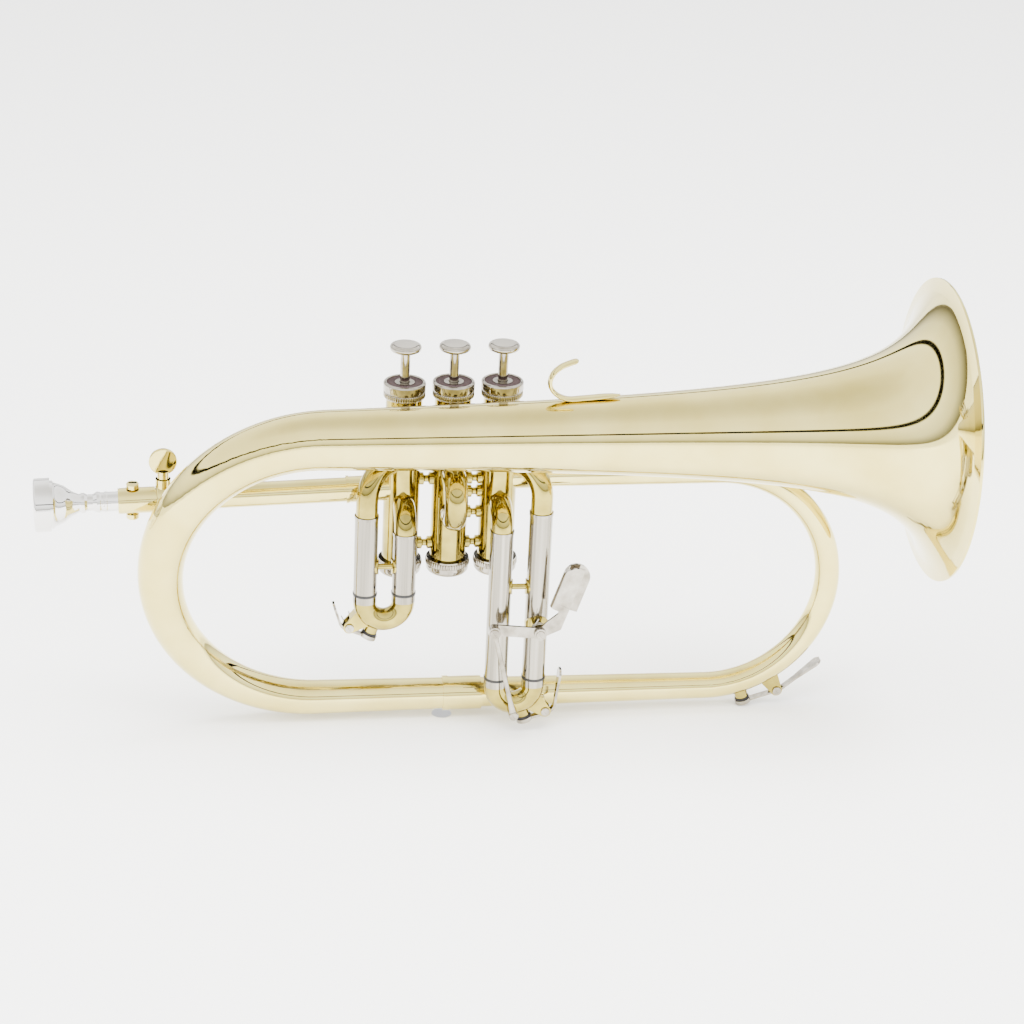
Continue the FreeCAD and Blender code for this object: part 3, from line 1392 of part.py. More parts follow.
def make_key_lever(key):
    """A strip from the cork's cup, under the hinge barrel and up to a rounded thumb plate."""
    levels = key_sizes(key)
    name = KEYS[key]["name"]
    reach = levels["reach"]
    hinge = levels["hinge"]
    half = "key_width / 2"
    strip_z = f"{levels['cork']} - key_strip / 2"
    bend = f"{name}_key_bend * 1 deg"
    thumb = f"{name}_key_thumb"
    start = (f"{reach} + key_bend_start", strip_z)
    rise = (f"{start[0]} + key_bend_radius * sin({bend})", f"{strip_z} + key_bend_radius * (1 - cos({bend}))")
    end = (f"{rise[0]} + {thumb} * cos({bend})", f"{rise[1]} + {thumb} * sin({bend})")
    route = (("0", strip_z), start, rise, end)
    strip = piped(f"{key}_key_strip", route, {1: ("key_bend_radius", 1)}, None, start="YZ_Plane",
                  strip=("key_width", "key_strip"))
    key_placed(key, strip)

    turn = Rotation(Vector(0, 1, 0), -number(f"{name}_key_bend"))
    plate = padded(f"{key}_key_plate", (
        (f"{thumb} / 3", f"-({half})"),
        (f"{thumb} - key_thumb_width / 2", "-key_thumb_width / 2"),
        (f"{thumb} - key_thumb_width / 2", "key_thumb_width / 2"),
        (f"{thumb} / 3", half),
    ), "key_strip", "XY_Plane")
    key_placed(key, plate, (rise[0], "0", rise[1]), turn)
    tip_at = (
        f"{rise[0]} + ({thumb} - key_thumb_width / 2) * cos({bend}) + key_strip / 2 * sin({bend})",
        "0",
        f"{rise[1]} + ({thumb} - key_thumb_width / 2) * sin({bend}) - key_strip / 2 * cos({bend})",
    )
    tip = key_placed(key, cylinder(f"{key}_key_tip", "key_thumb_width / 2", "key_strip"), tip_at, turn)

    cup = cylinder(f"{key}_key_cup", "cork_diameter / 2 + cork_cup_wall", "key_strip + cork_cup_lip")
    key_placed(key, cup, ("0", "0", f"{levels['cork']} - key_strip"))
    seat = cylinder(f"{key}_key_cup_bore", "cork_diameter / 2", "cork_thickness + cork_cup_lip")
    key_placed(key, seat, ("0", "0", levels["cork"]))
    barrel = cylinder(f"{key}_key_barrel", "key_barrel_diameter / 2", "key_width")
    key_placed(key, barrel, (reach, f"-({half})", hinge), ALONG_Y)
    bore = cylinder(f"{key}_key_bore", "key_pin_diameter / 2 + key_pin_clearance", "4 * key_width")
    key_placed(key, bore, (reach, "-2 * key_width", hinge), ALONG_Y)
    lever = fuse(f"{key}_key_whole", [strip, plate, tip, barrel, cup])
    node(f"{key}_key", cut(f"{key}_key", lever, fuse(f"{key}_key_holes", [bore, seat])))


def make_key_cork(key):
    levels = key_sizes(key)
    top = f"{levels['nipple']} - cork_gap"
    cork = turned(f"{key}_key_cork", (
        ("0", levels["cork"]),
        ("cork_diameter / 2", levels["cork"]),
        ("cork_diameter / 2", top),
        ("0", top),
    ))
    node(f"{key}_key_cork", key_placed(key, cork))


# ---------------------------------------------------------------- third slide trigger
PIVOT = ("valve_pitch + slide_spacing", "trigger_pivot_height")
LINK = ("valve_pitch + slide_spacing - trigger_arm", "trigger_pivot_height + trigger_arm_rise")


def make_trigger():
    front = "-trigger_pivot_plane"
    pin = "trigger_pin_diameter / 2"
    half_plate = "trigger_plate / 2"

    # saddle on the outer sleeve, with the post and the pivot screw in front of it
    pad = common("trigger_saddle_pad", [
        cylinder("trigger_saddle_disc", "trigger_post_diameter", "trigger_pivot_plane",
                 (PIVOT[0], "-slide_plane", PIVOT[1]), AGAINST_Y),
        cylinder("trigger_saddle_wrap", "sleeve_diameter / 2 + brace_pad_thickness",
                 "4 * trigger_post_diameter", (PIVOT[0], "-slide_plane", f"{PIVOT[1]} - 2 * trigger_post_diameter")),
    ])
    post = cylinder("trigger_saddle_post", "trigger_post_diameter / 2",
                    f"trigger_pivot_plane - slide_plane - {half_plate} - rod_part_gap",
                    (PIVOT[0], "-slide_plane", PIVOT[1]), AGAINST_Y)
    sleeve = cylinder("trigger_saddle_trim", "sleeve_diameter / 2", "8 * trigger_post_diameter",
                      (PIVOT[0], "-slide_plane", f"{PIVOT[1]} - 4 * trigger_post_diameter"))
    hole = cylinder("trigger_saddle_hole", pin, "trigger_pivot_plane",
                    (PIVOT[0], "-slide_plane", PIVOT[1]), AGAINST_Y)
    solid = cut("trigger_saddle_solid", fuse("trigger_saddle_whole", [pad, post]), sleeve)
    node("trigger_saddle", cut("trigger_saddle", solid, hole))

    head_plane = f"{front} - {half_plate} - rod_part_gap"
    shaft = cylinder("trigger_screw_shaft", pin,
                     f"trigger_pivot_plane + {half_plate} + rod_part_gap - slide_plane - sleeve_diameter / 2",
                     (PIVOT[0], head_plane, PIVOT[1]), ALONG_Y)
    head = cylinder("trigger_screw_head_disc", "trigger_screw_head_diameter / 2", "trigger_screw_head",
                    (PIVOT[0], head_plane, PIVOT[1]), AGAINST_Y)
    node("trigger_pivot", fuse("trigger_pivot", [shaft, head]))

    # lever: a flat plate across both legs, and an arm that climbs to the paddle
    half = "trigger_plate_height / 2"
    lean = "paddle_lean * 1 deg"
    neck_right = (f"paddle_reach + paddle_near_edge * cos({lean})",
                  f"paddle_lift - paddle_near_edge * sin({lean})")
    neck_left = (f"paddle_reach - paddle_back * cos({lean}) + paddle_depth / 2",
                 f"paddle_lift + paddle_back * sin({lean})")
    plate = padded("trigger_lever_plate", (
        ("-trigger_arm", f"trigger_arm_rise - {half}"),
        ("0", f"-({half})"),
        ("trigger_heel_reach", "trigger_heel_lift"),
        neck_right,
        neck_left,
        (neck_left[0], "trigger_neck_lift"),
        ("trigger_shoulder_reach", "trigger_shoulder_lift"),
        ("0", half),
        ("-trigger_arm", f"trigger_arm_rise + {half}"),
    ), "trigger_plate")
    place(plate, (PIVOT[0], front, PIVOT[1]))
    near_face = f"{front} - {half_plate}"
    back_face = f"{front} + {half_plate}"
    ends = [
        cylinder("trigger_plate_end", half, "trigger_plate", (LINK[0], back_face, LINK[1]), AGAINST_Y),
        cylinder("trigger_plate_middle", half, "trigger_plate", (PIVOT[0], back_face, PIVOT[1]), AGAINST_Y),
    ]
    bore = cylinder("trigger_lever_bore", "trigger_pin_diameter / 2 + trigger_pin_clearance",
                    "4 * trigger_plate", (PIVOT[0], f"{front} - 2 * trigger_plate", PIVOT[1]), ALONG_Y)
    link_pin = cylinder("trigger_link_pin", pin, "rod_eye_thickness + 2 * rod_part_gap",
                        (LINK[0], near_face, LINK[1]), AGAINST_Y)
    link_head = cylinder("trigger_link_head", "trigger_screw_head_diameter / 2", "trigger_screw_head",
                         (LINK[0], f"{near_face} - rod_eye_thickness - 2 * rod_part_gap", LINK[1]), AGAINST_Y)
    lever = fuse("trigger_lever_whole", [plate, make_paddle(), link_pin, link_head] + ends)
    node("trigger_lever", cut("trigger_lever", lever, bore))


def make_paddle():
    """A strip folded lengthwise into a U that leans with the arm, its open side towards +X."""
    radius = "paddle_depth / 2"
    outer = f"({radius} + paddle_thickness / 2)"
    inner = f"({radius} - paddle_thickness / 2)"
    axis = f"({outer} - paddle_back)"
    low = "-paddle_drop"
    over = "paddle_length + paddle_drop"
    shell = fuse("paddle_outside", [
        cylinder("paddle_outer_round", outer, over, (axis, radius, low)),
        box("paddle_outer_box", (axis, f"{radius} - {outer}", low),
            ("paddle_far_edge", f"{radius} + {outer}", "paddle_length")),
    ])
    hollow = fuse("paddle_inside", [
        cylinder("paddle_inner_round", inner, f"2 * ({over})", (axis, radius, f"2 * ({low})")),
        box("paddle_inner_box", (axis, f"{radius} - {inner}", f"2 * ({low})"),
            ("2 * paddle_far_edge", f"{radius} + {inner}", "2 * paddle_length")),
        box("paddle_near_trim", ("paddle_near_edge", f"-({outer})", f"2 * ({low})"),
            ("2 * paddle_far_edge", radius, "2 * paddle_length")),
    ])
    tip_radius = "(paddle_far_edge + paddle_back) / 2"
    tip_x = "(paddle_far_edge - paddle_back) / 2"
    tongue = fuse("paddle_tongue", [
        box("paddle_tongue_box", ("-paddle_back", f"-({outer})", low), ("paddle_far_edge", "2 * paddle_depth",
                                                                        f"paddle_length - {tip_radius}")),
        cylinder("paddle_tongue_tip", tip_radius, "3 * paddle_depth",
                 (tip_x, f"-({outer})", f"paddle_length - {tip_radius}"), ALONG_Y),
    ])
    paddle = common("paddle", [cut("paddle_shell", shell, hollow), tongue])
    place(paddle, (f"{PIVOT[0]} + paddle_reach", "-trigger_pivot_plane", f"{PIVOT[1]} + paddle_lift"),
          Rotation(Vector(0, 1, 0), number("paddle_lean")))
    bind(paddle, "Placement.Rotation.Angle", "paddle_lean * 1 deg")
    return paddle


def make_link_rod():
    """Rod from the lever's pin down to the post on the bow: an eye at each end, and a thicker foot."""
    eye_plane = "-trigger_pivot_plane - trigger_plate / 2 - rod_part_gap - rod_eye_thickness / 2"
    top = Vector(number(LINK[0]), number(eye_plane), number(LINK[1]))
    low = Vector(number("rod_foot_reach"), number("-trigger_pivot_plane"), number("rod_foot_height"))
    axis = top - low
    thick = number("rod_eye_thickness")
    rod = Part.makeCylinder(number("rod_diameter / 2"), axis.Length, low, axis)
    socket = Part.makeCone(number("rod_socket_diameter / 2"), number("rod_diameter / 2"),
                           number("rod_socket_length"), low, axis)
    slack = "trigger_pin_diameter / 2 + rod_eye_slack"
    running = "rod_post_diameter / 2 + trigger_pin_clearance"
    eyes = []
    holes = []
    for centre, hole in ((top, slack), (low, running)):
        back = centre + Vector(0, thick / 2, 0)
        eyes.append(Part.makeCylinder(number(hole) + number("rod_eye_wall"), thick, back, Vector(0, -1, 0)))
        holes.append(Part.makeCylinder(number(hole), 3 * thick, back + Vector(0, thick, 0), Vector(0, -1, 0)))
    # flats beside each eye, so that the rod passes the lever's plate and the post's root
    flats = []
    for centre, reach in ((top, "trigger_plate_height / 2 + rod_eye_slack"),
                          (low, "rod_root_diameter / 2 + rod_part_gap")):
        for side in (1, -1):
            face = centre + Vector(0, side * thick / 2, 0)
            flats.append(Part.makeCylinder(number(reach), thick, face, Vector(0, side, 0)))
    solid = rod.fuse(eyes + [socket]).cut(holes + flats)
    node("link_rod", moulded("link_rod", solid.removeSplitter()))


for valve in VALVES:
    make_casing(valve)
    make_piston(valve)
    make_stem(valve)
    make_button(valve)
    make_valve_spring(valve)
make_caps()
make_crossovers()
make_balusters()
make_elbows()
for slide in SLIDES:
    make_slide(slide)
make_first_bow()
make_third_bow()
make_slide_braces()
make_second_slide()
make_bell()
make_tail()
make_main_bow()
make_ferrules()
make_leadpipe()
make_knobs()
make_clamp()
make_mouthpiece()
make_hook()
make_bell_braces()
for key in KEYS:
    make_key_seat(key)
    make_key_lever(key)
    make_key_cork(key)
make_trigger()
make_link_rod()

doc.recompute()
faults = [item.Name for item in doc.Objects if {"Invalid", "Error"} & set(item.State)]
for name, item in NODES.items():
    if item.Shape.isNull() or not item.Shape.isValid() or not item.Shape.Solids:
        faults.append(name)
if faults:
    raise RuntimeError("failed: " + ", ".join(faults))

os.makedirs("parts", exist_ok=True)
for name, item in NODES.items():
    item.Shape.exportStep(f"parts/{name}.step")
    print(name, len(item.Shape.Solids), round(item.Shape.Volume, 1))
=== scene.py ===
"""A flugelhorn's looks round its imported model: finishes, turned trim, wire springs and a pale studio."""

import json
import logging
import math
from dataclasses import dataclass, field
from enum import Enum

import bpy
import numpy as np
from mathutils import Matrix, Vector


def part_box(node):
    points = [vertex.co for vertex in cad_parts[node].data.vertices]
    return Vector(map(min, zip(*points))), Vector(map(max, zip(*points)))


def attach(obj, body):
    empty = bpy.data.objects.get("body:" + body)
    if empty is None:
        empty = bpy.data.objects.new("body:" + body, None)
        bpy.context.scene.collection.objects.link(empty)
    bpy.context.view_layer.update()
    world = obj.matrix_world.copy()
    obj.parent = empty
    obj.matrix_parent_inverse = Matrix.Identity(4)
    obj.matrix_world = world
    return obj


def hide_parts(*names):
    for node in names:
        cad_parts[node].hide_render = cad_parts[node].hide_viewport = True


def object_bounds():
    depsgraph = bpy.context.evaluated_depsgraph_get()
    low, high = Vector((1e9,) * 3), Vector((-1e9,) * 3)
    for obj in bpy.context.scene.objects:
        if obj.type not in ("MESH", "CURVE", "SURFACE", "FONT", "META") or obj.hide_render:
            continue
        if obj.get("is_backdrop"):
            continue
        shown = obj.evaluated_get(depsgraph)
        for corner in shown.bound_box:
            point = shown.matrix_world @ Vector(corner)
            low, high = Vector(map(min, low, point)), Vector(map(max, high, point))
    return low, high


LOG = logging.getLogger("flugelhorn")
MM = 0.001
SMOOTH_ANGLE = math.radians(32)
WELD_DISTANCE = 1e-7
TONE_STOPS = (0.3, 0.7)
SMEAR_MM = 9.0
KEY_BODIES = (("main", "horn"), ("slide_1", "slide_1"), ("slide_3", "slide_3"))
LACQUER_ROUGHNESS = 0.04

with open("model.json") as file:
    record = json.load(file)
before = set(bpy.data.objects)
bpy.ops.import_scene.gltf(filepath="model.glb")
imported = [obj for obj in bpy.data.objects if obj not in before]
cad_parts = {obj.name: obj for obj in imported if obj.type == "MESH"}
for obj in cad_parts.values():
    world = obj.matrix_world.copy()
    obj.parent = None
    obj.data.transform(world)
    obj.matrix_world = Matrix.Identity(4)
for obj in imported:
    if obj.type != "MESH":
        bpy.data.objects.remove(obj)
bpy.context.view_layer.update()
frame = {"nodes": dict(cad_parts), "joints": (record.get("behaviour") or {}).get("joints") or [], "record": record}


class Axis(Enum):
    """The directions in which this horn's turned pieces stand."""

    ALONG = (1.0, 0.0, 0.0)
    ACROSS = (0.0, 1.0, 0.0)
    UP = (0.0, 0.0, 1.0)


class Pattern(Enum):
    """How a finish's marks and tones lie: even all round, in rings, or in streaks up and down."""

    EVEN = (1.0, 1.0, 1.0)
    RINGS = (0.04, 0.04, 1.0)
    # on nickel silver these streaks carry painted reflection: dark bands in its tone
    STREAKS = (1.0, 1.0, 0.012)


# ---------------------------------------------------------------- colour and node helpers
def linear(code: str) -> tuple[float, float, float, float]:
    """Turns a display colour into the linear one that shaders take.

    Args:
        code: Six hex digits, red, green and blue.

    Returns:
        Linear red, green, blue and an alpha of 1.
    """
    parts = np.array([int(code[i:i + 2], 16) for i in (0, 2, 4)]) / 255
    low = parts / 12.92
    high = ((parts + 0.055) / 1.055) ** 2.4
    return (*np.where(parts <= 0.04045, low, high).tolist(), 1.0)


def add_node(tree: bpy.types.NodeTree, kind: str, settings: dict | None = None,
             inputs: dict | None = None) -> bpy.types.Node:
    """Adds one node, sets it up and links what feeds it.

    Args:
        tree: The node tree that gets the node.
        kind: The node's type name.
        settings: Values for the node's own properties.
        inputs: For each input, by name or number, a value or the output socket that feeds it.

    Returns:
        The new node.
    """
    node = tree.nodes.new(kind)
    for name, value in (settings or {}).items():
        setattr(node, name, value)
    for name, value in (inputs or {}).items():
        if isinstance(value, bpy.types.NodeSocket):
            tree.links.new(value, node.inputs[name])
        else:
            node.inputs[name].default_value = value
    return node


def ramp(tree: bpy.types.NodeTree, factor: bpy.types.NodeSocket, stops: tuple) -> bpy.types.NodeSocket:
    """Adds a colour ramp with the given stops.

    Args:
        tree: The node tree that gets the ramp.
        factor: The socket that drives it.
        stops: Pairs of a place from 0 to 1 and a colour.

    Returns:
        The ramp's colour output.
    """
    node = add_node(tree, "ShaderNodeValToRGB", inputs={"Fac": factor})
    bands = node.color_ramp.elements
    while len(bands) < len(stops):
        bands.new(0.5)
    for band, (place, colour) in zip(bands, stops):
        band.position = place
        band.color = colour
    return node.outputs["Color"]


def two_tones(tree: bpy.types.NodeTree, factor: bpy.types.NodeSocket, deep: str,
              light: str) -> bpy.types.NodeSocket:
    """Blends two colours over the middle of a noise's range, where most of its values lie.

    Args:
        tree: The node tree that gets the ramp.
        factor: The noise's output.
        deep: Six hex digits for the noise's low values.
        light: Six hex digits for its high ones.

    Returns:
        The blended colour.
    """
    return ramp(tree, factor, tuple(zip(TONE_STOPS, (linear(deep), linear(light)))))


# ---------------------------------------------------------------- finishes
@dataclass(frozen=True)
class MetalFinish:
    """A metal surface: two tones in soft patches, fine polishing marks, and lacquer where it has some."""

    name: str
    slot: str
    light: str
    deep: str
    patch_mm: float = 35.0
    mark_mm: float = 0.9
    smooth: float = 0.06
    rough: float = 0.14
    mark_depth_mm: float = 0.0006
    lacquer: float = 0.0
    pattern: Pattern = Pattern.EVEN

    def material(self) -> bpy.types.Material:
        """Builds the node tree.

        Returns:
            The finished material.
        """
        made = bpy.data.materials.new(self.name)
        made.use_nodes = True
        tree = made.node_tree
        shader = tree.nodes["Principled BSDF"]
        place = add_node(tree, "ShaderNodeTexCoord").outputs["Object"]
        # tarnish and heat from brazing: broad patches a few centimetres across
        turned = add_node(tree, "ShaderNodeMapping", inputs={"Vector": place, "Scale": self.pattern.value})
        patch = add_node(tree, "ShaderNodeTexNoise", inputs={
            "Vector": turned.outputs["Vector"], "Scale": 1 / (self.patch_mm * MM), "Detail": 3.0,
            "Roughness": 0.55})
        tone = two_tones(tree, patch.outputs["Fac"], self.deep, self.light)
        # the last buffing wheel's marks, drawn a little coarser than they are so that they show
        mark = add_node(tree, "ShaderNodeTexNoise", inputs={
            "Vector": turned.outputs["Vector"], "Scale": 1 / (self.mark_mm * MM), "Detail": 2.0})
        # where a cloth has wiped it: a little duller and a little brighter, a finger's width apart
        smear = add_node(tree, "ShaderNodeTexNoise", inputs={
            "Vector": place, "Scale": 1 / (SMEAR_MM * MM), "Detail": 4.0, "Roughness": 0.6})
        gloss = add_node(tree, "ShaderNodeMapRange", inputs={
            "Value": smear.outputs["Fac"], "From Min": 0.3, "From Max": 0.75,
            "To Min": self.smooth, "To Max": self.rough})
        bump = add_node(tree, "ShaderNodeBump", inputs={
            "Height": mark.outputs["Fac"], "Distance": self.mark_depth_mm * MM, "Strength": 1.0})
        shader.inputs["Metallic"].default_value = 1.0
        shader.inputs["Coat Weight"].default_value = self.lacquer
        shader.inputs["Coat Roughness"].default_value = LACQUER_ROUGHNESS
        tree.links.new(tone, shader.inputs["Base Color"])
        tree.links.new(gloss.outputs["Result"], shader.inputs["Roughness"])
        tree.links.new(bump.outputs["Normal"], shader.inputs["Normal"])
        return made


@dataclass(frozen=True)
class SoftFinish:
    """A dull surface with grain: felt, cork or rubber."""

    name: str
    slot: str
    light: str
    deep: str
    grain_mm: float
    grain_depth_mm: float
    roughness: float
    sheen: float = 0.0
    ior: float = 1.5

    def material(self) -> bpy.types.Material:
        """Builds the node tree.

        Returns:
            The finished material.
        """
        made = bpy.data.materials.new(self.name)
        made.use_nodes = True
        tree = made.node_tree
        shader = tree.nodes["Principled BSDF"]
        place = add_node(tree, "ShaderNodeTexCoord").outputs["Object"]
        # the grain's cells and the finer fibre over them raise the surface; the fibre alone carries the tones
        grain = add_node(tree, "ShaderNodeTexVoronoi", inputs={
            "Vector": place, "Scale": 1 / (self.grain_mm * MM)})
        fibre = add_node(tree, "ShaderNodeTexNoise", inputs={
            "Vector": place, "Scale": 2 / (self.grain_mm * MM), "Detail": 4.0})
        tone = two_tones(tree, fibre.outputs["Fac"], self.deep, self.light)
        both = add_node(tree, "ShaderNodeMath", {"operation": "ADD"}, {
            0: grain.outputs["Distance"], 1: fibre.outputs["Fac"]})
        bump = add_node(tree, "ShaderNodeBump", inputs={
            "Height": both.outputs["Value"], "Distance": self.grain_depth_mm * MM, "Strength": 1.0})
        shader.inputs["Roughness"].default_value = self.roughness
        shader.inputs["Sheen Weight"].default_value = self.sheen
        shader.inputs["IOR"].default_value = self.ior
        tree.links.new(tone, shader.inputs["Base Color"])
        tree.links.new(bump.outputs["Normal"], shader.inputs["Normal"])
        return made


# yellow brass, buffed and sprayed with clear lacquer: a pale gold mirror under a thin glossy skin
BELL_BRASS = MetalFinish("lacquered_yellow_brass", "lacquered_brass", "E6D788", "D5C46E", smooth=0.03,
                         rough=0.08, lacquer=0.3)
# the same brass on small brazed parts between the tubes: less buffed there, so duller, and painted a deeper,
# warmer gold as the shade that falls among them
CASING_BRASS_PAINTED_SHADE = MetalFinish("lacquered_casing_brass_painted_shade", "lacquered_brass", "BCAA52", "8B7C33", smooth=0.03,
                          rough=0.13, patch_mm=14.0, lacquer=0.3)
# drawn nickel silver tube: a warm pale grey, streaked up and down, the streaks' dark tone a painted reflection
NICKEL_SILVER = MetalFinish("drawn_nickel_silver_painted_reflection", "nickel_silver", "BDB7AA", "6E685B", smooth=0.08,
                            rough=0.17, patch_mm=3.2, pattern=Pattern.STREAKS)
# bright nickel plate on turned caps and levers: a slightly yellow mirror
NICKEL_PLATE = MetalFinish("bright_nickel_plate", "nickel_plate", "B9B3A7", "847D70", smooth=0.04, rough=0.12,
                           patch_mm=7.0)
# bead-blasted nickel on the buttons' tops: a soft even grey with no mirror
SATIN_NICKEL = MetalFinish("satin_nickel_inlay", "nickel_plate", "C6C1B6", "B2ACA0", smooth=0.32, rough=0.45,
                           mark_mm=0.4, mark_depth_mm=0.004)
# polished silver plate: the whitest mirror on the horn
SILVER_PLATE = MetalFinish("polished_silver_plate", "silver_plate", "F2F1EE", "DEDCD7", smooth=0.03,
                           rough=0.09)
# lapped monel: grey with rings left by the lapping tube
LAPPED_MONEL = MetalFinish("lapped_monel", "monel", "BDB8AE", "A8A298", smooth=0.22, rough=0.36,
                           pattern=Pattern.RINGS, mark_depth_mm=0.003)
# drawn spring wire, a dark straw grey
SPRING_WIRE = MetalFinish("drawn_spring_steel", "spring_steel", "A9A49B", "8F8A82", smooth=0.2, rough=0.35)
# pressed wool felt, dyed maroon: no shine, a soft bloom at its edge
MAROON_FELT = SoftFinish("pressed_wool_felt", "felt", "2C0D0C", "150605", 0.35, 0.12, 0.95, sheen=0.08)
# moulded nitrile ring: black with a faint even gloss
BLACK_RUBBER = SoftFinish("moulded_nitrile_rubber", "rubber_ring", "1B1B1B", "111111", 0.5, 0.01, 0.45)
# moulded synthetic cork: near black, finely pitted
BLACK_CORK = SoftFinish("moulded_synthetic_cork", "cork", "232120", "131211", 0.45, 0.06, 0.8)


@dataclass
class Dresser:
    """Gives every carried-over node its finish, and smooths its loose triangles for clean reflections."""

    # the parts that wear the brass painted darker as shade
    painted_shade_parts: tuple[str, ...] = ("valve_casing", "crossover", "casing_braces", "port_elbows", "slide_braces",
                               "key_seat", "trigger_saddle", "slide_1_bow", "slide_3_bow", "slide_2")
    cache: dict = field(default_factory=dict)

    def material(self, finish: MetalFinish | SoftFinish) -> bpy.types.Material:
        """Builds a finish's material the first time that it is asked for, and keeps it.

        Args:
            finish: The finish.

        Returns:
            Its material.
        """
        if finish.name not in self.cache:
            self.cache[finish.name] = finish.material()
        return self.cache[finish.name]

    def finish_for(self, node: str, slot: str) -> MetalFinish | SoftFinish:
        """Picks a node's finish.

        Args:
            node: The node's name.
            slot: The record's material slot for it.

        Returns:
            The finish that it wears.
        """
        if slot == "lacquered_brass":
            # the parts listed in painted_shade_parts get the brass painted darker as shade; the rest get the plain
            # brass
            return CASING_BRASS_PAINTED_SHADE if node.startswith(self.painted_shade_parts) or "key_seat" in node else BELL_BRASS
        return {"nickel_silver": NICKEL_SILVER, "nickel_plate": NICKEL_PLATE, "silver_plate": SILVER_PLATE,
                "monel": LAPPED_MONEL, "spring_steel": SPRING_WIRE, "felt": MAROON_FELT,
                "rubber_ring": BLACK_RUBBER, "cork": BLACK_CORK}[slot]

    def wear(self, piece: bpy.types.Object, finish: MetalFinish | SoftFinish) -> None:
        """Puts one finish on a piece in place of whatever it had.

        Args:
            piece: The piece.
            finish: The finish that it gets.
        """
        piece.data.materials.clear()
        piece.data.materials.append(self.material(finish))

    def smooth(self, piece: bpy.types.Object) -> None:
        """Joins a node's loose triangles and keeps an edge only where faces meet at a real corner.

        Args:
            piece: The node's object.
        """
        mesh = piece.data
        stored = mesh.attributes.get("custom_normal")
        if stored is not None:
            mesh.attributes.remove(stored)
        mesh.polygons.foreach_set("use_smooth", np.ones(len(mesh.polygons), dtype=bool))
        weld = piece.modifiers.new("join_triangles", "WELD")
        weld.merge_threshold = WELD_DISTANCE
        keep_corners(piece)

    def dress_all(self) -> None:
        """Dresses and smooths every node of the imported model."""
        for part in frame["record"]["subparts"]:
            piece = frame["nodes"][part["node"]]
            self.smooth(piece)
            self.wear(piece, self.finish_for(part["node"], part["material_slot"]))
            LOG.info("dressed %s", part["node"])


# ---------------------------------------------------------------- surfaces
def keep_corners(piece: bpy.types.Object) -> None:
    """Shades a smooth piece as sharp where its faces meet at a real corner.

    Args:
        piece: The piece, smooth all over.
    """
    split = piece.modifiers.new("keep_corners", "EDGE_SPLIT")
    split.split_angle = SMOOTH_ANGLE


def grid_piece(name: str, points: np.ndarray, close_rows: bool = True,
               cap_ends: bool = False) -> bpy.types.Object:
    """Makes a mesh from a grid of points, whose columns always close into a ring.

    Args:
        name: The piece's name.
        points: Places in metres, rows by columns by 3; each row is a ring.
        close_rows: Whether the last row joins the first, as on a torus.
        cap_ends: Whether a face closes the first and the last ring.

    Returns:
        The piece, at the origin, with its place in its mesh.
    """
    rows, columns = points.shape[:2]
    index = np.arange(rows * columns).reshape(rows, columns)
    below = index if close_rows else index[:-1]
    above = np.roll(index, -1, axis=0) if close_rows else index[1:]
    quads = np.stack([below, np.roll(below, -1, axis=1), np.roll(above, -1, axis=1), above], axis=-1)
    faces = quads.reshape(-1, 4).tolist()
    if cap_ends:
        faces += [index[0, ::-1].tolist(), index[-1].tolist()]
    mesh = bpy.data.meshes.new(name)
    mesh.from_pydata(points.reshape(-1, 3).tolist(), [], faces)
    mesh.validate()
    mesh.polygons.foreach_set("use_smooth", np.ones(len(mesh.polygons), dtype=bool))
    piece = bpy.data.objects.new(name, mesh)
    bpy.context.scene.collection.objects.link(piece)
    return piece


def turned_points(profile: np.ndarray, centre: np.ndarray, axis: Axis, around: int,
                  ripple: np.ndarray | None = None) -> np.ndarray:
    """Turns a profile about an axis.

    Each profile point (along, radius) becomes a ring: centre + along * axis + radius * (cos(turn), sin(turn))
    in the plane across the axis. A ripple, one number for each step round, is added to the radii.

    Args:
        profile: Pairs of distance along the axis and radius, in metres.
        centre: Where distance 0 lies on the axis.
        axis: The direction of turning.
        around: Steps round the axis.
        ripple: Extra radius for each profile point and each step round.

    Returns:
        Profile points by steps by 3.
    """
    along = np.array(axis.value)
    side = np.roll(along, 1)
    other = np.cross(along, side)
    turn = np.linspace(0, 2 * math.pi, around, endpoint=False)
    radius = np.repeat(profile[:, 1:2], around, axis=1)
    if ripple is not None:
        radius = radius + ripple
    ring = radius[..., None] * (np.cos(turn)[:, None] * side + np.sin(turn)[:, None] * other)
    return centre + profile[:, 0][:, None, None] * along + ring


def spline_points(knots: np.ndarray, steps: int) -> np.ndarray:
    """Runs a smooth curve through knots.

    Between two knots the curve is the cubic whose slope at each knot is half the step between that knot's
    neighbours.

    Args:
        knots: Places in metres, in order.
        steps: Points on the finished curve.

    Returns:
        Steps by 3.
    """
    ends = np.concatenate([2 * knots[:1] - knots[1:2], knots, 2 * knots[-1:] - knots[-2:-1]])
    along = np.linspace(0, len(knots) - 1, steps)
    first = np.minimum(along.astype(int), len(knots) - 2)
    share = (along - first)[:, None]
    a, b, c, d = (ends[first + step] for step in range(4))
    return 0.5 * (2 * b + (c - a) * share + (2 * a - 5 * b + 4 * c - d) * share ** 2
                  + (3 * b - a - 3 * c + d) * share ** 3)


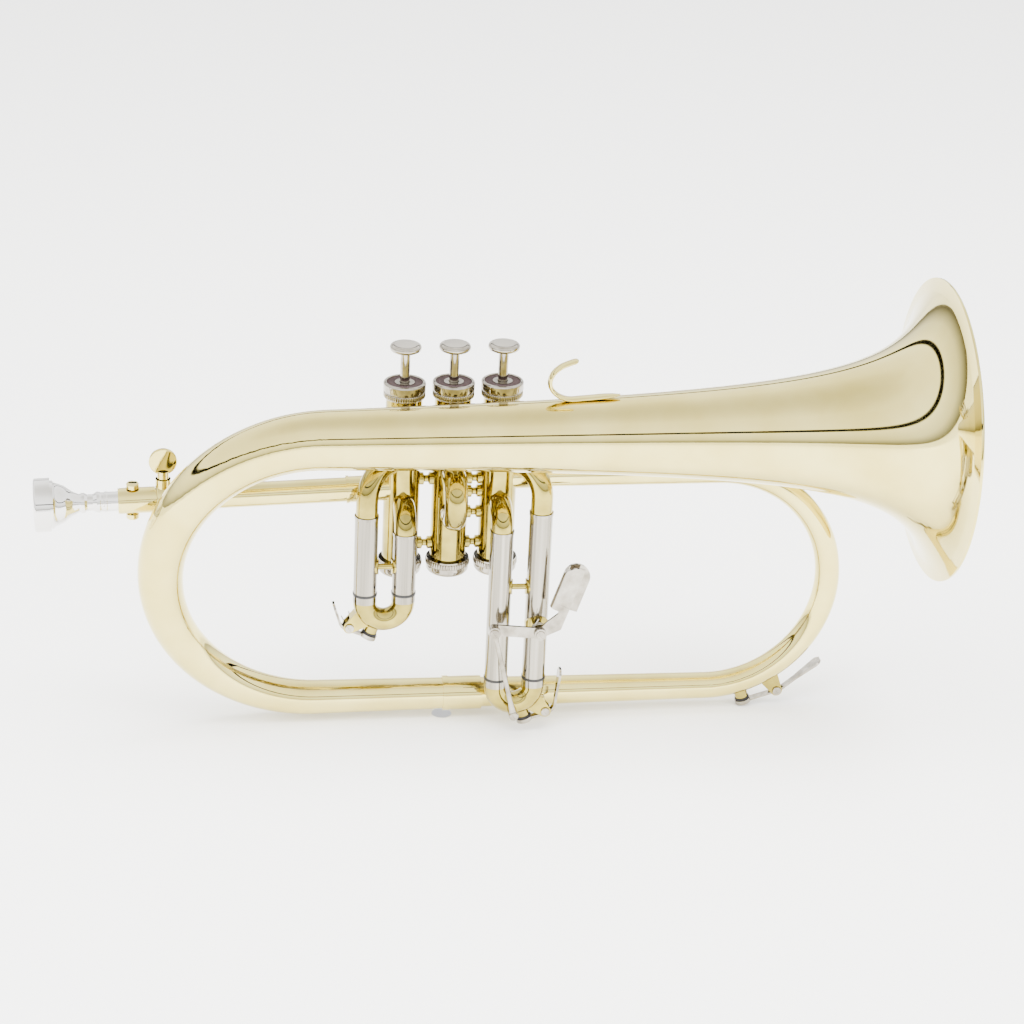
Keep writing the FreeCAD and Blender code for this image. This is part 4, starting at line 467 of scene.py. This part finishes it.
def wire_points(path: np.ndarray, radius: float | np.ndarray, across: np.ndarray, around: int = 10,
                flatness: float = 1.0) -> np.ndarray:
    """Carries a round or oval section along a path.

    At each path point the section lies on two directions square to the path: the cross product of the path's
    direction with a fixed one that the path never follows, and the product of those two.

    Args:
        path: Points along the wire's middle, in metres.
        radius: The wire's radius along the fixed direction, one for all or one for each point.
        across: The fixed direction.
        around: Sides of the section.
        flatness: The section's other radius as a share of that one.

    Returns:
        Path points by sides by 3.
    """
    ahead = np.gradient(path, axis=0)
    ahead /= np.linalg.norm(ahead, axis=1, keepdims=True)
    first = np.cross(ahead, across)
    first /= np.linalg.norm(first, axis=1, keepdims=True)
    second = np.cross(ahead, first)
    turn = np.linspace(0, 2 * math.pi, around, endpoint=False)[None, :, None]
    reach = np.broadcast_to(radius, len(path))[:, None, None]
    return path[:, None] + reach * (flatness * np.cos(turn) * first[:, None] + np.sin(turn) * second[:, None])


def middle(node: str) -> np.ndarray:
    """Finds the middle of a CAD node's box.

    Args:
        node: The node's name.

    Returns:
        The place, in metres.
    """
    low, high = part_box(node)
    return (np.array(low) + np.array(high)) / 2


def hinge_places() -> dict[str, np.ndarray]:
    """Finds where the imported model's hinges are.

    Returns:
        For each hinge, by its joint's name, a point on its axis in metres.
    """
    return {joint["name"]: np.array(joint["pos_m"]) for joint in frame["joints"] if joint["type"] == "hinge"}


# ---------------------------------------------------------------- sub-assemblies
@dataclass
class Bell:
    """The bell, from its first ferrule to its wired rim."""

    flare_length: float = 10.5 * MM
    flare_power: float = 0.475
    wall: float = 0.5 * MM
    bead_radius: float = 1.4 * MM
    bead_flat: float = 0.35 * MM
    bead_turn: float = 0.62 * math.pi
    bead_clear: float = 1.1
    crowding: float = 2.4
    along_steps: int = 150
    bead_steps: int = 24
    around: int = 288

    def profile(self) -> tuple[np.ndarray, np.ndarray]:
        """Works out the wall's section.

        The outside radius at a distance d behind the bead is mouth * (length / (d + length)) ** power, and
        the inside is one wall smaller. The bead is an arc of a circle, flat at the very front.

        Returns:
            Pairs of distance behind the front and radius, and the point on the bell's axis at the front.
        """
        low, high = (np.array(corner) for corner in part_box("bell"))
        mouth = (high[2] - low[2]) / 2 - self.bead_radius
        back = high[0] - low[0] - self.bead_radius + self.bead_flat
        # steps crowd towards the mouth, where the wall turns fastest
        distance = back * np.linspace(1, 0, self.along_steps) ** self.crowding
        radius = mouth * (self.flare_length / (distance + self.flare_length)) ** self.flare_power
        centre = -self.bead_radius + self.bead_flat
        outside = np.column_stack([centre - distance, radius])
        turn = np.linspace(self.bead_turn, -self.bead_turn, self.bead_steps)
        arc = self.bead_radius * np.column_stack([np.cos(turn), np.sin(turn)])
        bead = np.array([centre, mouth]) + arc
        bead[:, 0] = np.minimum(bead[:, 0], 0)
        inside = outside[::-1] - np.array([0, self.wall])
        keep = distance > self.bead_radius * self.bead_clear
        section = np.concatenate([outside[keep], bead, inside[keep[::-1]]])
        return section, np.array([high[0], (low[1] + high[1]) / 2, (low[2] + high[2]) / 2])

    def build(self, dresser: Dresser) -> None:
        """Makes the bell and puts it in the CAD bell's place.

        Args:
            dresser: Gives it its finish.
        """
        section, front = self.profile()
        piece = grid_piece("bell_skin", turned_points(section, front, Axis.ALONG, self.around))
        recalculate(piece)
        keep_corners(piece)
        dresser.wear(piece, BELL_BRASS)
        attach(piece, "horn")
        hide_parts("bell")
        LOG.info("made bell_skin")


def recalculate(piece: bpy.types.Object) -> None:
    """Turns a closed piece's faces outwards, by the sign of the volume that they enclose.

    Args:
        piece: The piece.
    """
    mesh = piece.data
    mesh.calc_loop_triangles()
    ends = np.zeros(len(mesh.loop_triangles) * 3, dtype=np.int32)
    mesh.loop_triangles.foreach_get("vertices", ends)
    places = np.zeros(len(mesh.vertices) * 3)
    mesh.vertices.foreach_get("co", places)
    a, b, c = places.reshape(-1, 3)[ends.reshape(-1, 3)].transpose(1, 0, 2)
    if np.einsum("ij,ij->", a, np.cross(b, c)) < 0:
        mesh.flip_normals()


@dataclass
class ValveTrim:
    """What is fitted to each valve after plating: the knurled grips and the satin button tops."""

    inlay_radius: float = 5.7 * MM
    inlay_crown: float = 0.45 * MM
    inlay_sink: float = 0.5 * MM
    inlay_gap: float = 0.05 * MM
    inlay_around: int = 72
    dome_steps: int = 16
    hub: float = 0.02
    knurl_count: int = 52
    knurl_steps: int = 8
    knurl_depth: float = 0.42 * MM
    knurl_sink: float = 0.25 * MM
    top_grip: tuple[float, float] = (47.9 * MM, 50.9 * MM)
    top_grip_radius: float = 10.0 * MM
    foot_grip_height: float = 2.8 * MM
    foot_grip_drop: float = 0.8 * MM

    def knurled_ring(self, name: str, low: float, high: float, radius: float,
                     centre: np.ndarray) -> bpy.types.Object:
        """Makes one grip.

        Its radius is the cap's, plus a depth times (1 - cos(teeth * turn)) / 2, a wave that repeats once a
        tooth and dies away at the grip's two bevelled ends.

        Args:
            name: The grip's name.
            low: The height of its lower end.
            high: The height of its upper end.
            radius: The cap's radius, at the grooves.
            centre: The valve's axis at height 0.

        Returns:
            The grip.
        """
        height = np.array([low, low, low + self.knurl_depth, high - self.knurl_depth, high, high])
        face = np.array([radius - self.knurl_sink, radius, radius, radius, radius, radius - self.knurl_sink])
        steps = self.knurl_count * self.knurl_steps
        wave = 0.5 - 0.5 * np.cos(np.arange(steps) * 2 * math.pi * self.knurl_count / steps)
        share = np.array([0, 0, 1, 1, 0, 0])[:, None]
        points = turned_points(np.column_stack([height, face]), centre, Axis.UP, steps,
                               share * wave[None] * self.knurl_depth)
        piece = grid_piece(name, points)
        recalculate(piece)
        return piece

    def inlay(self, name: str, centre: np.ndarray) -> bpy.types.Object:
        """Makes a button's top: a shallow dome, its height falling with the square of the distance out.

        Args:
            name: The inlay's name.
            centre: The middle of the dome's foot.

        Returns:
            The inlay.
        """
        out = np.linspace(1, self.hub, self.dome_steps)
        dome = np.column_stack([self.inlay_crown * (1 - out ** 2), out * self.inlay_radius])
        foot = self.inlay_radius * np.array([self.hub, 1])
        low = np.column_stack([np.full(2, -self.inlay_sink), foot])
        points = turned_points(np.concatenate([low, dome]), centre, Axis.UP, self.inlay_around)
        piece = grid_piece(name, points, close_rows=False, cap_ends=True)
        recalculate(piece)
        return piece

    def build(self, dresser: Dresser) -> None:
        """Makes the trim of all three valves.

        Args:
            dresser: Gives the pieces their finishes.
        """
        for valve in (1, 2, 3):
            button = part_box(f"finger_button_{valve}")
            axis = middle(f"finger_button_{valve}") * np.array([1, 1, 0])
            top = self.inlay(f"button_inlay_{valve}", axis + np.array([0, 0, button[1][2] + self.inlay_gap]))
            dresser.wear(top, SATIN_NICKEL)
            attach(top, f"valve_{valve}")
            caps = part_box("bottom_caps")
            foot = caps[1][2] - self.foot_grip_drop
            foot_radius = (caps[1][1] - caps[0][1]) / 2
            grips = (("top_cap_grip", *self.top_grip, self.top_grip_radius),
                     ("bottom_cap_grip", foot - self.foot_grip_height, foot, foot_radius))
            for name, low, high, radius in grips:
                grip = self.knurled_ring(f"{name}_{valve}", low, high, radius, axis)
                dresser.wear(grip, NICKEL_PLATE)
                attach(grip, "horn")
            LOG.info("made the trim of valve %d", valve)


@dataclass
class FingerHook:
    """The little finger's hook: a forged strip, flat on the bell, that curls up and over."""

    half_width: float = 2.8 * MM
    flatness: float = 0.42
    root_taper: float = 0.12
    tip_taper: float = 0.025
    thinnest: float = 0.04
    around: int = 28
    steps: int = 120
    course: tuple[tuple[float, float], ...] = (
        (1.0, 0.145), (0.72, 0.105), (0.48, 0.075), (0.30, 0.06), (0.16, 0.13), (0.055, 0.28), (0.02, 0.46),
        (0.06, 0.66), (0.18, 0.83), (0.40, 0.965))

    def build(self, dresser: Dresser) -> None:
        """Makes the hook along a smooth course, given as shares of its box.

        Its half width is the full one times the square root of 1 - (1 - blunt) ** 2, where blunt grows from
        almost 0 to 1 over the taper at each end, so that both ends are round.

        Args:
            dresser: Gives it its finish.
        """
        low, high = (np.array(corner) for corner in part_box("finger_hook"))
        course = np.array(self.course)
        knots = np.column_stack([low[0] + course[:, 0] * (high[0] - low[0]),
                                 np.full(len(course), (low[1] + high[1]) / 2),
                                 low[2] + course[:, 1] * (high[2] - low[2])])
        path = spline_points(knots, self.steps)
        share = np.linspace(0, 1, self.steps)
        blunt = np.clip(np.minimum(share / self.root_taper, (1 - share) / self.tip_taper), self.thinnest, 1)
        width = self.half_width * np.sqrt(1 - (1 - blunt) ** 2)
        points = wire_points(path, width, np.array(Axis.ACROSS.value), self.around, self.flatness)
        piece = grid_piece("finger_hook_strip", points, close_rows=False, cap_ends=True)
        recalculate(piece)
        dresser.wear(piece, BELL_BRASS)
        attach(piece, "horn")
        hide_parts("finger_hook")
        LOG.info("made finger_hook_strip")


@dataclass
class WireSpring:
    """A coil of wire round a pin, with a straight leg at each end."""

    name: str
    body: str
    centre: np.ndarray
    coil_radius: float
    wire_radius: float
    turns: float
    pitch: float
    start_angle: float
    leg: float
    steps_a_turn: int = 28
    leg_steps: int = 10

    def path(self) -> np.ndarray:
        """Works out the wire's middle line.

        The coil is a helix about +Y: centre + radius * (cos(turn), 0, sin(turn)) + pitch * turn / a whole
        turn. Each leg leaves the coil straight on.

        Returns:
            Points along the wire, in metres.
        """
        turn = np.linspace(0, 2 * math.pi * self.turns, int(self.steps_a_turn * self.turns))
        angle = turn + self.start_angle
        drift = self.pitch * (turn - turn.mean()) / (2 * math.pi)
        coil = self.centre + np.column_stack([self.coil_radius * np.cos(angle), drift,
                                              self.coil_radius * np.sin(angle)])
        share = np.linspace(0, 1, self.leg_steps)[1:, None]
        first = coil[0] - coil[1]
        last = coil[-1] - coil[-2]
        before = coil[0] + share[::-1] * self.leg * first / np.linalg.norm(first)
        after = coil[-1] + share * self.leg * last / np.linalg.norm(last)
        return np.concatenate([before, coil, after])

    def build(self, dresser: Dresser) -> None:
        """Makes the spring.

        Args:
            dresser: Gives it its finish.
        """
        points = wire_points(self.path(), self.wire_radius, np.array(Axis.ACROSS.value))
        piece = grid_piece(self.name, points, close_rows=False, cap_ends=True)
        recalculate(piece)
        dresser.wear(piece, SPRING_WIRE)
        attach(piece, self.body)
        LOG.info("made %s", self.name)


@dataclass
class Springs:
    """The return springs of the three water keys and of the third slide's trigger."""

    key_gap: float = 0.9 * MM
    key_coil: float = 1.5 * MM
    key_wire: float = 0.28 * MM
    key_turns: float = 2.5
    key_pitch: float = 0.6 * MM
    key_start: float = math.radians(200)
    key_leg: float = 5.0 * MM
    trigger_back: float = 3.2 * MM
    trigger_coil: float = 3.6 * MM
    trigger_wire: float = 0.4 * MM
    trigger_turns: float = 3.25
    trigger_pitch: float = 0.95 * MM
    trigger_start: float = math.radians(150)
    trigger_leg: float = 6.0 * MM

    def build(self, dresser: Dresser) -> None:
        """Makes one spring at each hinge, where the record says that the hinge is.

        Args:
            dresser: Gives the springs their finish.
        """
        hinges = hinge_places()
        for key, body in KEY_BODIES:
            hinge = hinges[f"{key}_key_press"]
            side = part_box(f"{key}_key_seat")[1][1]
            centre = np.array([hinge[0], side + self.key_gap, hinge[2]])
            WireSpring(f"{key}_key_spring", body, centre, self.key_coil, self.key_wire, self.key_turns,
                       self.key_pitch, self.key_start, self.key_leg).build(dresser)
        pivot = hinges["trigger_turn"] + np.array([0, self.trigger_back, 0])
        WireSpring("trigger_spring", "horn", pivot, self.trigger_coil, self.trigger_wire, self.trigger_turns,
                   self.trigger_pitch, self.trigger_start, self.trigger_leg).build(dresser)


@dataclass
class ScrewHead:
    """A slotted cheese head that faces the front or the back."""

    name: str
    body: str
    centre: np.ndarray
    radius: float
    facing: float = -1.0
    height: float = 0.55 * MM
    slot_half: float = 0.3 * MM
    slot_depth: float = 0.35 * MM
    slant: float = 0.6
    sink: float = 0.4 * MM
    bevel: float = 0.9
    bevel_steps: int = 4
    edge_share: float = 0.9
    face_edge: float = 0.88
    face_steps: int = 26
    hub: float = 0.01
    around: int = 96

    def build(self, dresser: Dresser) -> None:
        """Makes the head: a turned disc whose face is lower wherever it lies inside the slot's width.

        Its edge is a quarter of an oval: edge share * height * sqrt(1 - out ** 2), where out grows from 0 at
        the bevel to 1 at the rim.

        Args:
            dresser: Gives it its finish.
        """
        edge = np.linspace(1, self.bevel, self.bevel_steps)
        face = np.linspace(self.face_edge, self.hub, self.face_steps)
        out = np.concatenate([[1.0], edge, face])
        share = (edge - self.bevel) / (1 - self.bevel)
        rise = np.concatenate([[-self.sink], self.height * np.sqrt(1 - share ** 2) * self.edge_share,
                               np.full(self.face_steps, self.height)])
        outline = np.column_stack([rise, out * self.radius])
        points = turned_points(outline, np.zeros(3), Axis.ACROSS, self.around)
        side = points[..., 0] * math.cos(self.slant) + points[..., 2] * math.sin(self.slant)
        in_slot = (np.abs(side) < self.slot_half) & (points[..., 1] > self.height / 2)
        points[..., 1] -= in_slot * self.slot_depth
        points[..., 1] *= self.facing
        piece = grid_piece(self.name, points + self.centre, close_rows=False, cap_ends=True)
        recalculate(piece)
        dresser.wear(piece, NICKEL_PLATE)
        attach(piece, self.body)
        LOG.info("made %s", self.name)


@dataclass
class Screws:
    """The slotted heads on the linkage's pins and on the water keys' hinges."""

    pin_radius: float = 2.3 * MM
    key_radius: float = 2.3 * MM
    lever_end: float = 2.9 * MM
    rod_eye: float = 3.1 * MM

    def build(self, dresser: Dresser) -> None:
        """Makes one head on each pin.

        Args:
            dresser: Gives the heads their finish.
        """
        hinges = hinge_places()
        lever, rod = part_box("trigger_lever"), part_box("link_rod")
        pivot, foot = hinges["trigger_turn"], hinges["link_rod_turn"]
        top = np.array([lever[0][0] + self.lever_end, lever[0][1], rod[1][2] - self.rod_eye])
        ScrewHead("link_pin_screw", "trigger", top, self.pin_radius).build(dresser)
        axle = np.array([pivot[0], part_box("trigger_pivot")[0][1], pivot[2]])
        ScrewHead("trigger_pivot_screw", "horn", axle, self.pin_radius).build(dresser)
        low = np.array([foot[0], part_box("slide_3_bow")[0][1], foot[2]])
        ScrewHead("rod_foot_screw", "slide_3", low, self.pin_radius).build(dresser)
        for key, body in KEY_BODIES:
            hinge = hinges[f"{key}_key_press"]
            head = np.array([hinge[0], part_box(f"{key}_key_seat")[0][1], hinge[2]])
            ScrewHead(f"{key}_key_screw", body, head, self.key_radius).build(dresser)


@dataclass
class Studio:
    """A pale floor, soft lights and the camera."""

    camera_place: tuple[float, float, float] = (-0.1927, -1.3438, 0.5905)
    aim: tuple[float, float, float] = (0.03047, -0.01029, -0.01149)
    roll: float = 2.7
    lens: float = 103.66
    floor_gap: float = 0.0004
    floor_half: float = 2.6
    floor_bend: float = 0.86
    floor_rise: float = 9.0
    floor_hole: float = 0.002
    floor_rings: int = 40
    floor_around: int = 96
    floor_tones: tuple[str, str] = ("F1F1F0", "F4F4F3")
    tooth_mm: float = 2.0
    backdrop: str = "F7F7F7"
    surround_power: float = 3.1
    # from straight down to straight up: pale, a dim horizon, white walls, a thin dark gap, a pale ceiling
    surround: tuple[tuple[float, str], ...] = (
        (0.0, "E8E8E8"), (0.5, "55534D"), (0.57, "D8D8D6"), (0.682, "FFFFFF"), (0.688, "060503"),
        (0.718, "060503"), (0.725, "FFFFFF"), (0.90, "F2F1EE"), (1.0, "C9C7C2"))
    # each soft box: its name, its place, its two sides in metres and its watts
    boxes: tuple[tuple[str, tuple[float, float, float], float, float, float], ...] = (
        ("overhead_box", (0.1, -0.3, 1.9), 2.6, 1.6, 175),
        ("left_box", (-1.7, -1.0, 0.9), 1.4, 1.2, 60),
        ("right_box", (1.6, -1.3, 1.0), 1.0, 1.4, 50))

    def floor(self) -> None:
        """Lays a round floor just under the horn, its edge turned up into a low curve."""
        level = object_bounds()[0].z - self.floor_gap
        out = np.linspace(self.floor_hole, 1, self.floor_rings)
        rise = np.maximum(out - self.floor_bend, 0) ** 2 * self.floor_rise
        outline = np.column_stack([rise, out * self.floor_half])
        disc = turned_points(outline, np.array([0, 0, level]), Axis.UP, self.floor_around)
        piece = grid_piece("studio_floor", disc, close_rows=False)
        paper = bpy.data.materials.new("matt_background_paper")
        paper.use_nodes = True
        tree = paper.node_tree
        shader = tree.nodes["Principled BSDF"]
        place = add_node(tree, "ShaderNodeTexCoord").outputs["Object"]
        # the paper's tooth: barely seen, so that the floor isn't one dead tone
        tooth = add_node(tree, "ShaderNodeTexNoise", inputs={
            "Vector": place, "Scale": 1 / (self.tooth_mm * MM)})
        low, high = (linear(tone) for tone in self.floor_tones)
        shade = ramp(tree, tooth.outputs["Fac"], ((0.0, low), (1.0, high)))
        tree.links.new(shade, shader.inputs["Base Color"])
        shader.inputs["Roughness"].default_value = 0.9
        shader.inputs["Specular IOR Level"].default_value = 0.1
        piece.data.materials.append(paper)
        piece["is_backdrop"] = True

    def lamp(self, name: str, place: tuple, width: float, depth: float, power: float) -> None:
        """Hangs one soft box that faces the horn.

        Args:
            name: The lamp's name.
            place: Its middle, in metres.
            width: Its longer side.
            depth: Its shorter side.
            power: Watts.
        """
        data = bpy.data.lights.new(name, "AREA")
        data.shape = "RECTANGLE"
        data.size = width
        data.size_y = depth
        data.energy = power
        lamp = bpy.data.objects.new(name, data)
        bpy.context.scene.collection.objects.link(lamp)
        lamp.location = place
        lamp.visible_glossy = False
        lamp.rotation_euler = (Vector(self.aim) - Vector(place)).to_track_quat("-Z", "Y").to_euler()

    def sky(self) -> None:
        """Surrounds the horn with white, and a thin darker gap between wall and ceiling to draw its tubes."""
        world = bpy.data.worlds.new("studio_surround")
        bpy.context.scene.world = world
        world.use_nodes = True
        tree = world.node_tree
        tree.nodes.clear()
        way = add_node(tree, "ShaderNodeTexCoord").outputs["Generated"]
        height = add_node(tree, "ShaderNodeSeparateXYZ", inputs={"Vector": way}).outputs["Z"]
        share = add_node(tree, "ShaderNodeMapRange", inputs={
            "Value": height, "From Min": -1.0, "From Max": 1.0}).outputs["Result"]
        wall = ramp(tree, share, tuple((place, linear(tone)) for place, tone in self.surround))
        seen = add_node(tree, "ShaderNodeLightPath").outputs["Is Camera Ray"]
        plain = add_node(tree, "ShaderNodeBackground", inputs={
            "Color": linear(self.backdrop), "Strength": 1.0})
        lit = add_node(tree, "ShaderNodeBackground", inputs={"Color": wall, "Strength": self.surround_power})
        mixed = add_node(tree, "ShaderNodeMixShader", inputs={
            0: seen, 1: lit.outputs["Background"], 2: plain.outputs["Background"]})
        add_node(tree, "ShaderNodeOutputWorld", inputs={"Surface": mixed.outputs["Shader"]})

    def camera(self) -> None:
        """Sets up the camera: it looks from its place at the aim, turned a little about its line of sight."""
        data = bpy.data.cameras.new("studio_camera")
        data.sensor_width = 36.0
        data.lens = self.lens
        data.clip_start = 0.05
        data.clip_end = 30.0
        camera = bpy.data.objects.new("studio_camera", data)
        bpy.context.scene.collection.objects.link(camera)
        look = (Vector(self.aim) - Vector(self.camera_place)).to_track_quat("-Z", "Y").to_matrix()
        turn = Matrix.Rotation(math.radians(self.roll), 3, "Z")
        camera.matrix_world = Matrix.Translation(self.camera_place) @ (look @ turn).to_4x4()
        bpy.context.scene.camera = camera

    def build(self) -> None:
        """Sets the whole studio."""
        self.floor()
        self.sky()
        self.camera()
        for box in self.boxes:
            self.lamp(*box)
        LOG.info("studio set")


def main() -> None:
    """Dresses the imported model, adds the pieces made here, and sets the studio."""
    logging.basicConfig(level=logging.INFO, format="%(message)s")
    dresser = Dresser()
    dresser.dress_all()
    Bell().build(dresser)
    FingerHook().build(dresser)
    ValveTrim().build(dresser)
    Springs().build(dresser)
    Screws().build(dresser)
    Studio().build()


if __name__ == "__main__":
    main()
